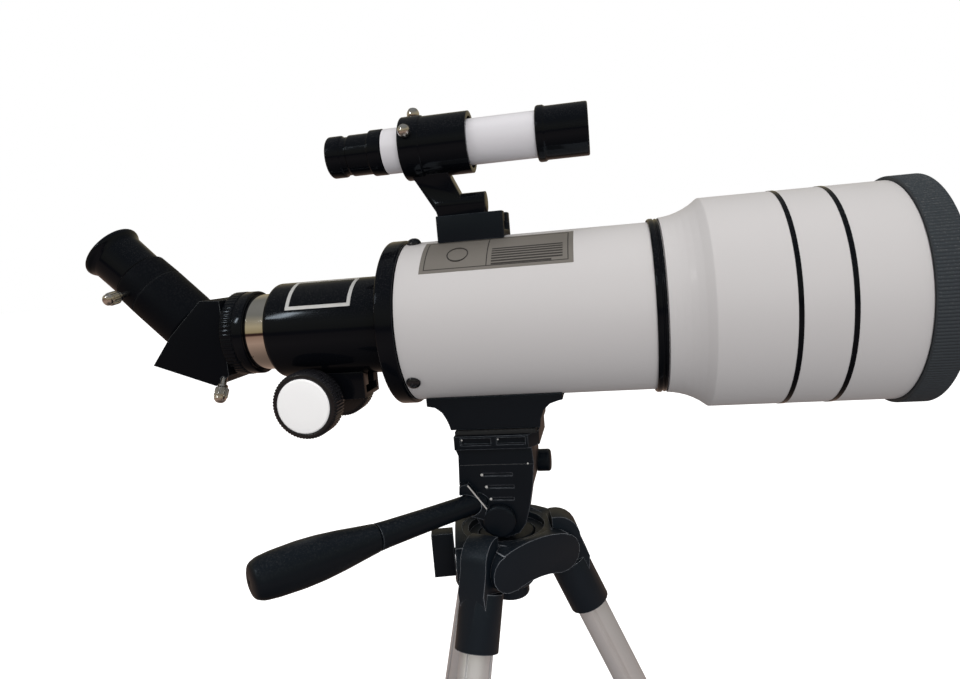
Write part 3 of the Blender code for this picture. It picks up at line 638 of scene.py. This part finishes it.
# %% [markdown]
# ## Main tube and label
# The tube is a rolled and painted cylinder. Near its rear end a foil label is glued on, high on the viewer's
# side. Only its plain layout is kept: a dark frame line, a divider, a ring on one side and a few rules on the
# other. The label and its lines are thin bent plates, each a hair higher than the last, so that they catch
# the light as real foil does.

# %% Main tube and label
TUBE = span("main_tube")
settle(turned("main_tube_fine", [(TUBE[0], TUBE_R - 1.6), (TUBE[0], TUBE_R), (TUBE[1], TUBE_R),
                                 (TUBE[1], TUBE_R - 1.6)], steps=192, soft=0.3), WHITE, "main_tube")
LABEL_X, LABEL_TURN = (-26.0, 45.3), (15.0, 51.8)
LINE = 0.45
DEGREE = math.pi * TUBE_R / 180


def label_line(name, x, turn):
    """One printed line on the label, between two distances and two angles."""
    settle(wrapped(name, x, turn, TUBE_R + 0.14, 0.03), PRINT, on="main_tube")


settle(wrapped("label_foil", LABEL_X, LABEL_TURN, TUBE_R + 0.02, 0.12), PLATE, on="main_tube")
inner_x = (LABEL_X[0] + 2.0, LABEL_X[1] - 2.2)
inner_turn = (LABEL_TURN[0] + 2.5, LABEL_TURN[1] - 2.4)
line_turn = LINE / DEGREE
divider_x = LABEL_X[0] + 31.5
for k, x in enumerate((inner_x[0], divider_x, inner_x[1] - LINE)):
    label_line("label_upright_%d" % k, (x, x + LINE), inner_turn)
for k, turn in enumerate((inner_turn[0], inner_turn[1] - line_turn)):
    label_line("label_level_%d" % k, inner_x, (turn, turn + line_turn))
for k in range(7):
    turn = inner_turn[0] + 15.0 + 2.45 * k
    label_line("label_rule_%d" % k, (divider_x + 2.4, inner_x[1] - 2.6 - 5.0 * (k == 6)), (turn, turn + 1.35))
ring_side = towards(LABEL_X[0] + 17.5, 0, 0, (0, -math.sin(math.radians(36)), math.cos(math.radians(36))))
ring = [(TUBE_R - 0.6, 4.6), (TUBE_R + 0.17, 4.6), (TUBE_R + 0.17, 5.2), (TUBE_R - 0.6, 5.2)]
settle(turned("label_ring", ring, ring_side, steps=64, soft=0.02), PRINT, on="main_tube")
print("label %.1f mm long" % (LABEL_X[1] - LABEL_X[0]))

# %% [markdown]
# ## Dew shield, bands and grip ring
# The dew shield flares out from the tube to keep stray light and dew off the objective. Two thin black bands
# trim it, a black band hides the joint where it starts, and a ribbed rubber ring protects its mouth. The
# ring's ribs are real grooves, fine enough that they blend into a soft sheen.

# %% Dew shield, bands and grip ring
SHIELD = span("dew_shield")
MOUTH = SHIELD[1]
flare = [(84.2, TUBE_R + 0.9), (84.2, TUBE_R + 1.6), (87, TUBE_R + 1.9), (90, TUBE_R + 2.5),
         (93, TUBE_R + 3.4), (96, TUBE_R + 4.7), (99, TUBE_R + 6.4), (102.4, SHIELD_R)]
settle(turned("dew_shield_fine", flare + [(MOUTH - 11.9, SHIELD_R), (MOUTH - 11.9, SHIELD_R - 1.0),
                                          (MOUTH, SHIELD_R - 1.0), (MOUTH, SHIELD_R - 2.6),
                                          (112, SHIELD_R - 2.6), (112, TUBE_R + 0.9)],
              steps=192, soft=0.5), WHITE, "dew_shield")
for node in ("accent_band_1", "accent_band_2"):
    x0, x1 = span(node)
    settle(turned(node + "_fine", [(x0, SHIELD_R - 0.3), (x0, SHIELD_R + 0.2), (x1, SHIELD_R + 0.2),
                                   (x1, SHIELD_R - 0.3)], steps=192, soft=0.12), GLOSS, node)
GRIP = span("grip_ring")
GRIP_R = round(radius("grip_ring"), 2)
settle(turned("grip_ring_fine", [(GRIP[0], SHIELD_R - 0.7), (GRIP[0], GRIP_R - 0.3), (GRIP[0] + 0.5, GRIP_R),
                                 (GRIP[1] - 0.6, GRIP_R), (GRIP[1], GRIP_R - 0.7), (GRIP[1], SHIELD_R - 2.2),
                                 (GRIP[1] - 0.8, SHIELD_R - 2.2), (GRIP[1] - 0.8, SHIELD_R - 0.7)],
              soft=0.35, ribs=(GRIP[0] + 0.2, GRIP[1] - 0.2, SHIELD_R, 216, 0.28)), RUBBER, "grip_ring")
BAND = span("tube_band")
settle(turned("tube_band_fine", [(BAND[0] + 2, TUBE_R + 0.25), (BAND[0] + 2, TUBE_R + 1.0),
                                 (BAND[0] + 2.8, TUBE_R + 1.5), (BAND[0] + 4.4, TUBE_R + 1.5),
                                 (BAND[0] + 4.8, TUBE_R + 0.8), (BAND[0] + 5.2, TUBE_R + 0.8),
                                 (BAND[0] + 5.6, TUBE_R + 1.4), (BAND[1], TUBE_R + 1.1),
                                 (BAND[1], TUBE_R + 0.25)], steps=192, soft=0.25), GLOSS, "tube_band")
print("shield mouth at %.1f mm, ring radius %.1f mm" % (MOUTH, GRIP_R))

# %% [markdown]
# ## Objective
# The objective lens sits in a blackened cell inside the shield and is held by a threaded ring. Its glass is a
# gentle dome, so that it shows a curved reflection when the telescope is seen from the front.

# %% Objective
LENS_R = TUBE_R - 3.0
settle(turned("objective_cell_fine", [(98, LENS_R - 1.8), (98, TUBE_R - 1.95), (107.8, TUBE_R - 1.95),
                                      (107.8, LENS_R + 0.4), (102, LENS_R + 0.4), (102, LENS_R - 1.8)]),
       INSIDE, "objective_cell")
LENS_TOP, LENS_RISE = 108.9, 3.0
bulge = [(LENS_TOP - LENS_RISE * (r / LENS_R) ** 2, r) for r in (LENS_R, 30, 24, 18, 12, 6, 0)]
settle(turned("objective_lens_fine", [(102.6, 0), (102.6, LENS_R)] + bulge, soft=0.2), GLASS,
       "objective_lens")
settle(turned("lens_ring_fine", [(106.4, LENS_R - 3.1), (106.4, LENS_R), (108.3, LENS_R),
                                 (108.3, LENS_R - 2.6), (107.7, LENS_R - 3.1)], soft=0.2), MATTE, "lens_ring")
print("lens radius %.1f mm" % LENS_R)

# %% [markdown]
# ## Rear cell and its screws
# A moulded black cell closes the tube and carries the focuser. Three dome-headed screws hold it through the
# tube's wall. A cross is cut in each head, and the round rim of the cell shows one long highlight.

# %% Rear cell and its screws
CELL_X = TUBE[0] - 0.4
SCREW_X = CELL_X + 4.5
settle(turned("rear_cell_fine", [(CELL_X - 9, FOCUSER_R + 0.35), (CELL_X - 9, TUBE_R + 0.2),
                                 (CELL_X - 8.2, TUBE_R + 1.6), (CELL_X - 0.8, TUBE_R + 1.6),
                                 (CELL_X, TUBE_R + 0.9), (CELL_X, TUBE_R - 1.95),
                                 (CELL_X + 11, TUBE_R - 1.95), (CELL_X + 11, TUBE_R - 4.1),
                                 (CELL_X - 3, TUBE_R - 4.1), (CELL_X - 5, FOCUSER_R + 0.35)],
              steps=192, soft=0.8), GLOSS, "rear_cell")
for k, turn in enumerate((10, 130, 250)):
    a = math.radians(turn)
    spot = towards(SCREW_X, 0, 0, (0, -math.sin(a), math.cos(a)))
    dome = ((0.1, 0), (0.1, 3.6), (0.7, 3.5), (1.9, 2.8), (2.6, 1.6), (2.9, 0))
    head = [(TUBE_R + x, r) for x, r in dome]
    screw = turned("dome_screw_%d" % (k + 1), head, spot, steps=48, soft=0.5)
    cross = [block("cross", (TUBE_R + 2.1, TUBE_R + 5), (-w, w), (-h, h), spot)
             for w, h in ((0.28, 1.5), (1.5, 0.28))]
    settle(carve(screw, cross), BLACK_SCREW, "rear_cell_screw_%d" % (k + 1))
print("screws at", round(SCREW_X, 1))

# %% [markdown]
# ## Focuser
# The focuser is a glossy tube with the draw tube sliding inside it. A thin silver outline is printed on its
# upper side. Under it the pinion block holds the knobs' shaft. Each knob has a grooved black rim, which gives
# grip, and a pale face plate with a fine turned finish.

# %% Focuser body, outline and pinion block
FOCUSER = span("focuser_body")
focuser = turned("focuser_body_fine", [(FOCUSER[0], 20.55), (FOCUSER[0], FOCUSER_R - 1.6),
                                       (FOCUSER[0] + 1.8, FOCUSER_R), (FOCUSER[1], FOCUSER_R),
                                       (FOCUSER[1], 20.55)], steps=160, soft=1.4)
carve(focuser, [block("rack_slot", (FOCUSER[0] - 1, -49), (-4.2, 4.2), (-FOCUSER_R - 3, -17))])
settle(focuser, GLOSS, "focuser_body")
OUTLINE_X, OUTLINE_TURN = (-99.2, -64.8), (7.0, 61.2)
WIDE = 1.9
wide_turn = WIDE / (math.pi * FOCUSER_R / 180)
between = (OUTLINE_X[0] + WIDE, OUTLINE_X[1] - WIDE)
for name, x, turn in (
        ("rear", (OUTLINE_X[0], between[0]), OUTLINE_TURN),
        ("front", (between[1], OUTLINE_X[1]), OUTLINE_TURN),
        ("lower", between, (OUTLINE_TURN[1] - wide_turn, OUTLINE_TURN[1])),
        ("upper", between, (OUTLINE_TURN[0], OUTLINE_TURN[0] + wide_turn))):
    settle(wrapped("outline_" + name, x, turn, FOCUSER_R + 0.01, 0.05), SILVER_LINE_AND_GLINT, on="focuser_body")
refined("pinion_block", GLOSS, 0.4)
print("focuser %.1f mm long" % (FOCUSER[1] - FOCUSER[0]))

# %% [markdown]
# ### Knobs, shaft, rack and draw tube
# One outline makes both knobs, the near one turned half way round so that each faces outwards. The draw tube
# is a plain chromed pipe, because its reflections do all the work, and the rack's teeth come from a loop.

# %% Knobs, shaft, rack and draw tube
PINION = at(-91.5, 0, -35.5, ACROSS)
KNOB_R = 17.1
SHAFT_HALF, SHAFT_R, DRUM_HALF, DRUM_R = 26.5, 2.5, 4, 5
shaft = [(-SHAFT_HALF, 0), (-SHAFT_HALF, SHAFT_R), (-DRUM_HALF, SHAFT_R), (-DRUM_HALF, DRUM_R),
         (DRUM_HALF, DRUM_R), (DRUM_HALF, SHAFT_R), (SHAFT_HALF, SHAFT_R), (SHAFT_HALF, 0)]
settle(turned("pinion_shaft_fine", shaft, PINION, steps=48, soft=0.2), STEEL, "pinion_shaft")
for side, node in ((-1, "focus_knob_near"), (1, "focus_knob_far")):
    spot = PINION if side > 0 else PINION @ Matrix.Rotation(math.pi, 4, 'Z')
    outline = [(29.2, 0), (29.2, KNOB_R - 3.2), (29.8, KNOB_R - 2.5), (29.6, KNOB_R - 1.2), (28.3, KNOB_R),
               (18.6, KNOB_R), (17.2, KNOB_R - 2.2), (17.2, 2.9), (27, 2.9), (27, 0)]
    settle(turned(node + "_fine", outline, spot, soft=0.35, ribs=(17.4, 28.6, KNOB_R - 2.1, 64, 0.55)),
           KNOB, node)
    face = [(29.3, 0), (29.3, KNOB_R - 3.3), (29.7, KNOB_R - 3.2), (30.3, KNOB_R - 3.9), (30.6, 8), (30.7, 0)]
    settle(turned(node + "_face", face, spot, soft=0.3), KNOB_FACE, on=node)
DRAW_R = round(radius("draw_tube"), 2)
DRAW = span("draw_tube")
settle(turned("draw_tube_fine", [(DRAW[0], DRAW_R - 1.6), (DRAW[0], DRAW_R), (DRAW[1], DRAW_R),
                                 (DRAW[1], DRAW_R - 1.6)], steps=160, soft=0.3), CHROME, "draw_tube")
RACK, ROOT_Z, TIP_Z, PITCH = (-108.0, -76.0), -29.0, -30.1, 1.6
rack_top = -DRAW_R - 0.35
teeth = [(RACK[0], rack_top), (RACK[0], ROOT_Z)]
x = RACK[0]
while x + PITCH < RACK[1]:
    teeth += [(x + 0.2, ROOT_Z), (x + 0.6, TIP_Z), (x + 1.0, TIP_Z), (x + 1.4, ROOT_Z)]
    x += PITCH
teeth += [(RACK[1], ROOT_Z), (RACK[1], rack_top)]
settle(prism_of("draw_rack_fine", teeth, -3.6, 3.6), BRASS, "draw_rack")
print("rack has %d teeth" % int((RACK[1] - RACK[0]) / PITCH))

# %% [markdown]
# ## Adapter ring and clamping screws
# The adapter screws into the draw tube and clamps the diagonal. Its rear half is knurled for the fingers.
# Each clamping screw is turned from one bright rod: a thin shank, a grooved head and a small ball at its end.

# %% Adapter ring and clamping screws
ADAPTER_R = round(radius("adapter_ring"), 2)
ADAPTER = span("adapter_ring")
settle(turned("adapter_ring_fine", [(ADAPTER[0], 12.6), (ADAPTER[0], ADAPTER_R - 1.1), (-136.4, ADAPTER_R),
                                    (-130.6, ADAPTER_R), (-130.2, ADAPTER_R - 0.8), (-129.7, ADAPTER_R - 0.8),
                                    (-129.4, ADAPTER_R - 0.2), (-124.6, ADAPTER_R - 0.2),
                                    (-124.3, ADAPTER_R - 1.0), (-124.3, 18.25), (ADAPTER[1], 18.25),
                                    (ADAPTER[1], 12.6)],
              soft=0.3, ribs=(ADAPTER[0] + 0.3, -130.4, ADAPTER_R - 0.9, 60, 0.28)), GLOSS, "adapter_ring")


def clamp_screw(node, place, tip, reach):
    """A clamping screw from its tip outwards: shank, shoulder, grooved head and ball end."""
    neck = tip + reach
    outline = [(tip, 0), (tip, 1.5), (neck, 1.5), (neck, 2.6), (neck + 1.5, 2.6), (neck + 2.0, 3.5),
               (neck + 6.4, 3.5), (neck + 7.0, 3.1), (neck + 8.3, 2.9), (neck + 9.4, 1.8), (neck + 9.8, 0)]
    settle(turned(node + "_fine", outline, place, soft=0.3, ribs=(neck + 1.8, neck + 6.8, 2.9, 22, 0.4)),
           STEEL, node)


clamp_screw("housing_thumbscrew", towards(-141.0, 0, 0, (0, -0.57, -0.82)), 20.0, 10.4)
print("adapter radius", ADAPTER_R)

# %% [markdown]
# ## Diagonal and eyepiece
# A right-angle view would be awkward, so a prism folds the light 45 degrees upwards. Its housing is a matt
# black wedge. The eyepiece holder and the eyepiece lie along the folded axis: the same lathe tool makes them,
# placed in a frame that is tilted back.

# %% Diagonal and eyepiece
FOLD = at(-158.3, 0, 0, Matrix.Rotation(math.radians(-135), 4, 'Y'))
refined("prism_housing", MATTE, 0.5)
refined("prism", GLASS, 0.2)
BARREL_R = round(radius("diagonal_barrel"), 2)
BARREL = span("diagonal_barrel")
settle(turned("diagonal_barrel_fine", [(BARREL[0], BARREL_R - 1.15), (BARREL[0], BARREL_R),
                                       (BARREL[1], BARREL_R), (BARREL[1], BARREL_R - 1.15)], soft=0.2),
       CHROME, "diagonal_barrel")
settle(turned("eyepiece_holder_fine", [(9.0, 11.4), (9.0, 15.4), (9.8, 16.0), (35.6, 16.0), (36.0, 15.7),
                                       (36.4, 15.7), (36.8, 16.0), (48.6, 15.6), (49.2, 15.0), (49.2, 12.6),
                                       (20, 12.6), (18, 11.4)], FOLD, steps=144, soft=0.35),
       MATTE, "eyepiece_holder")
settle(turned("eyepiece_body_fine", [(28, 10.6), (28, 12.2), (49.6, 12.2), (49.6, 14.0), (50.2, 14.3),
                                     (66.0, 14.5), (68.0, 15.2), (69.4, 16.1), (70.6, 16.4), (71.6, 15.9),
                                     (72, 14.6), (71.4, 12.0), (69.0, 8.5), (69.0, 6.6), (64, 6.6),
                                     (64, 10.6)], FOLD, steps=144, soft=0.6), GLOSS, "eyepiece_body")
settle(turned("eye_lens_fine", [(59.5, 0), (59.5, 9.8), (62.4, 9.8), (63.3, 5), (63.6, 0)], FOLD, steps=64,
              soft=1.0), GLASS, "eye_lens")
clamp_screw("holder_thumbscrew", FOLD @ towards(41.5, 0, 0, (0, -0.97, 0.24)), 15.0, 6.3)
print("eyepiece barrel radius 12.2 mm")

# %% [markdown]
# ## Finder
# The finder is a small low-power telescope for pointing. Its tube is white, and its hood and eyepiece are
# glossy black. The bracket is one casting: a ring with a raised lip at the back, a slanting stalk and a foot
# that slides into the shoe on the tube.

# %% Finder
FINDER_R = round(radius("finder_tube"), 2)
finder_low, finder_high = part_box("finder_tube")
FINDER_Z = ((finder_low[2] + finder_high[2]) / 2 - HOME.z) / MM
FINDER = at(0, 0, FINDER_Z)
F0, F1 = span("finder_tube")
settle(turned("finder_tube_fine", [(F0, FINDER_R - 1.2), (F0, FINDER_R), (F1, FINDER_R),
                                   (F1, FINDER_R - 1.2)], FINDER, soft=0.3), FINDER_WHITE, "finder_tube")
EYE = span("finder_eyepiece")
bore = FINDER_R - 1.55
settle(turned("finder_eyepiece_fine", [(EYE[0], 4.5), (EYE[0], 9.6), (EYE[0] + 0.8, 10.3), (-67.4, 10.3),
                                       (-66.6, 9.4), (-63.8, 9.4), (-63.2, 10.1), (-52.4, 10.1), (-52, 11.2),
                                       (-45.5, 11.2), (-45.3, bore), (EYE[1], bore), (EYE[1], 7.4),
                                       (-70, 7.4), (-70, 4.5)], FINDER, soft=0.4), GLOSS, "finder_eyepiece")
HOOD = span("finder_hood")
settle(turned("finder_hood_fine", [(HOOD[0], FINDER_R + 0.35), (HOOD[0], 12.5), (31.4, 13.2), (34.2, 13.2),
                                   (35, 12.5), (HOOD[1] - 0.6, 12.5), (HOOD[1], 12.0), (HOOD[1], 11.2),
                                   (44.6, 11.2), (44.6, FINDER_R + 0.35)], FINDER, soft=0.5),
       GLOSS, "finder_hood")
settle(turned("finder_lens_fine", [(38.5, 0), (38.5, FINDER_R - 1.6), (41, FINDER_R - 1.6), (42.2, 5),
                                   (42.6, 0)], FINDER, soft=1.0), GLASS, "finder_lens")
refined("finder_bracket", GLOSS, 0.5, [block("trim", (-1.8, 6), (-20, 20), (66, 110))])
refined("finder_base", SATIN, 0.5)
lip = [(-35.2, 14.6), (-35.2, 15.0), (-34.8, 15.4), (-25.4, 15.4), (-24.8, 14.9), (-24.8, 14.6)]
settle(turned("finder_bracket_lip", lip, FINDER, soft=0.3), GLOSS, on="finder_bracket")
for k, direction in enumerate([(0, -0.94, 0.34), (0, 0.20, 0.98)]):
    node = "finder_screw_%d" % (k + 1)
    start = FINDER_R + 0.9
    outline = [(start, 0), (start, 1.5), (start + 3.6, 1.5), (start + 3.6, 2.6), (start + 4.4, 3.1),
               (start + 6.4, 3.1), (start + 8.2, 2.2), (start + 9.0, 0)]
    settle(turned(node + "_fine", outline, FINDER @ towards(-30.6, 0, 0, direction), steps=48, soft=0.7),
           STEEL, node)
print("finder radius %.1f mm" % FINDER_R)

# %% [markdown]
# ## Saddle foot and platform
# The foot under the tube spreads into two curved wings and stands on a rubber-faced platform. The platform's
# front edge has two long lightening slots with a painted glint, a small pale dot, in the corner of each.
# These pieces start from the mechanical solids, with their edges rounded.

# %% Saddle foot and platform
refined("mount_foot", SATIN, 0.5)
refined("head_platform", SATIN, 0.5)
refined("platform_pad", PAD, 0.4)
settle(turned("camera_screw_fine", [(-63.0, 0), (-63.0, 8.8), (-59.8, 8.8), (-59.8, 3.1), (-46.5, 3.1),
                                    (-46.5, 0)], UPRIGHT, soft=0.3, ribs=(-62.6, -60.2, 8, 40, 0.3)),
       STEEL, "camera_screw")


def pale_dot(name, x, y, z, r, on):
    """A small pale dot that faces the viewer, used as a painted glint at slot and groove ends."""
    outline = [(0.0, 0), (0.0, r), (0.25, r), (0.5, r * 0.6), (0.6, 0)]
    settle(turned(name, outline, towards(x, y, z, (0, -1, 0)), steps=24, soft=0.15), SILVER_LINE_AND_GLINT, on=on)


# Painted glints: a pale dot in the corner of each slot.
for k, x in enumerate((-15.7, 2.4)):
    pale_dot("platform_pin_%d" % k, x, -17.9, -58.6, 0.45, "head_platform")
print("platform done")

# %% [markdown]
# ## Tilting head
# The head is a deep casting that tilts about a large round boss. Three short grooves are moulded in its
# front, each with a painted glint, a small pale dot, at its end. The handle's socket leans across the lower
# left, and a thin pale strip along its upper edge is a painted highlight.

# %% Tilting head
HANDLE = towards(-9, -11.5, -92, (-0.686, -0.728, 0))
TILT = at(0, 0, -100.7, ACROSS)
grooves = [(-7.4, 7.8, -77.4), (-5.6, 8.2, -83.7), (-3.8, 7.7, -90.0)]
cutters = [block("groove", (x0, x1), (-18, -14.7), (z - 0.75, z + 0.75)) for x0, x1, z in grooves]
refined("tilt_body", SATIN, 0.5, cutters)
# Painted glints: a pale dot at the end of each groove, and one below the last.
for k, (x0, x1, z) in enumerate(grooves):
    pale_dot("groove_pin_%d" % k, x0 - 0.2, -15.4, z, 0.75, "tilt_body")
pale_dot("groove_pin_3", -7.5, -15.4, -90.8, 0.5, "tilt_body")
# A pale dot near the head's front corner.
pale_dot("corner_dot", 15.9, -15.4, -72.0, 0.5, "tilt_body")
socket = prism_of("handle_socket", [(-18.8, -81.8), (-14.6, -80.9), (-5.6, -93.6), (-7.6, -99.4),
                                    (-14.2, -97.6), (-19.2, -86)], -19.2, -15.45)
handle_way = turned("handle_way", [(0.4, 0), (0.4, 5.7), (20, 5.7), (20, 0)], HANDLE, steps=48)
settle(carve(socket, [handle_way], 0.6), SATIN, on="tilt_body")
# A thin pale strip along the socket's upper edge: a painted highlight.
socket_highlight = prism_of("socket_edge_highlight", [(-14.8, -81.6), (-14.3, -81.2), (-5.5, -93.6), (-6.0, -94.0)], -19.35, -18.9)
settle(carve(socket_highlight, [], 0.12), SILVER_LINE_AND_GLINT, on="tilt_body")
seam = block("head_seam", (-18.9, 18.4), (-15.7, -15.3), (-72.3, -72.0))
settle(seam, MATTE, on="tilt_body")
settle(turned("tilt_pivot_fine", [(-19.7, 0), (-19.7, 7.3), (-18.8, 8.3), (-15.9, 8.3), (-15.9, 3.6),
                                  (9.0, 3.6), (9.0, 0)], TILT, steps=96, soft=0.7), SATIN, "tilt_pivot")
settle(turned("flip_knob_fine", [(-18, 0), (-18, 2.0), (16.2, 2.0), (16.2, 5.2), (17.2, 5.95), (23.4, 5.95),
                                 (24.3, 5.0), (24.3, 0)], at(0, 16.8, -80.8), steps=64, soft=0.5),
       SATIN, "flip_knob")
print("head has %d grooves" % len(grooves))

# %% [markdown]
# ## Pan handle
# The handle is a plain black rod that swells smoothly into a rubber grip, so its two pieces are turned from
# outlines that run on from one to the other.

# %% Pan handle
settle(turned("pan_handle_fine", [(1.0, 0), (1.0, 5.3), (17, 5.3), (36, 5.6), (55, 6.1), (60.2, 6.4),
                                  (60.2, 4.2), (104, 4.2), (104, 0)], HANDLE, steps=96, soft=0.4),
       SATIN, "pan_handle")
settle(turned("handle_grip_fine", [(60.6, 4.6), (60.6, 6.5), (64, 6.9), (70, 7.7), (78, 8.8), (88, 9.8),
                                   (97, 10.1), (108, 9.7), (114, 9.0), (117.4, 7.4), (118.4, 4), (118.4, 0),
                                   (105, 0), (105, 4.6)], HANDLE, steps=96, soft=1.4), SATIN, "handle_grip")
print("handle runs to 118 mm")

# %% [markdown]
# ## Tripod
# The shoulder carries three arched plates, and a leg hinges between each pair. The sleeves are moulded black
# plastic. The legs are drawn aluminium: their section has flat facets and a few narrow grooves, which is why
# they show light and dark stripes along their length. Each ends in a rubber foot.

# %% Shoulder, pan base and lock
refined("shoulder", SHELL, 0.8)
refined("pan_base", SATIN, 0.4)
refined("pan_lock", SATIN, 0.6)
settle(turned("pan_spindle_fine", [(-147.6, 0), (-147.6, 9.0), (-146.6, 9.6), (-141.6, 9.6), (-141.6, 9.1),
                                   (-117.55, 9.1), (-117.55, 0)], UPRIGHT, soft=0.3), SHELL, "pan_spindle")

# %% [markdown]
# ### Legs
# The aluminium section is drawn once, as points round a circle, and pulled out along the leg. The same leg is
# then placed three times, a third of a turn apart.

# %% Legs
SPREAD, TURN = 22.0, 12.0
HINGE = (25.5, 0, -118.0)
LEG_R = 8.3
LEG_SPAN = (18.5, 309.6)
FACETS, GROOVE_DEEP, GROOVE_HALF = 12, 0.9, 0.8


def leg_section():
    """The aluminium's outline seen end on: twelve flat facets, with a groove in every third one."""
    points = []
    half = 180 / FACETS
    for k in range(FACETS):
        a, b = math.radians(2 * half * k - half), math.radians(2 * half * k + half)
        start = Vector((math.cos(a), math.sin(a))) * LEG_R
        end = Vector((math.cos(b), math.sin(b))) * LEG_R
        points.append(start)
        if k % 3 == 0:
            middle = (start + end) / 2
            inward = -middle.normalized() * GROOVE_DEEP
            side = (end - start).normalized() * GROOVE_HALF
            points += [middle - side, middle - side + inward, middle + side + inward, middle + side]
    return points


def extruded(name, section, x0, x1, bore, place):
    """A section of (y, z) points drawn out along X, with a round bore."""
    m = len(section)
    verts = [(x, p.x, p.y) for x in (x0, x1) for p in section]
    faces = [tuple(range(m)), tuple(range(2 * m - 1, m - 1, -1))]
    faces += [(k, (k + 1) % m, m + (k + 1) % m, m + k) for k in range(m)]
    obj = make_object(name, verts, faces, place)
    hole = turned(name + "_bore", [(x0 - 5, 0), (x0 - 5, bore), (x1 + 5, bore), (x1 + 5, 0)], place, steps=48)
    return carve(obj, [hole], 0.12)


for k in range(3):
    name = "leg_%d" % (k + 1)
    hinge = Matrix.Rotation(math.radians(TURN + 120 * k), 4, 'Z') @ at(*HINGE)
    down = hinge @ Matrix.Rotation(math.radians(90 - SPREAD), 4, 'Y')
    refined(name + "_sleeve", SHELL, 0.6)
    settle(extruded(name + "_tube_fine", leg_section(), *LEG_SPAN, LEG_R - 1.6, down), ALUMINIUM,
           name + "_tube")
    refined(name + "_lower", RUBBER, 0.5)
print("legs: 3, section of", len(leg_section()), "points")

# %% [markdown]
# ## Floor and finish
# A plain pale floor catches the shadow.

# %% Floor and finish
REACH = 14.0
floor_mesh = bpy.data.meshes.new("Floor")
floor_mesh.from_pydata([(-REACH, -REACH, 0), (REACH, -REACH, 0), (REACH, REACH, 0), (-REACH, REACH, 0)], [],
                       [(0, 1, 2, 3)])
floor = bpy.data.objects.new("Floor", floor_mesh)
bpy.context.scene.collection.objects.link(floor)
floor_finish = finish("Floor", (0.85, 0.85, 0.85), 0.8, grain=(60, 0.01))
floor_finish.node_tree.nodes["Principled BSDF"].inputs["Emission Color"].default_value = (1, 1, 1, 1)
floor_finish.node_tree.nodes["Principled BSDF"].inputs["Emission Strength"].default_value = 0.8
floor_mesh.materials.append(floor_finish)
floor.visible_glossy = False
floor.visible_diffuse = False
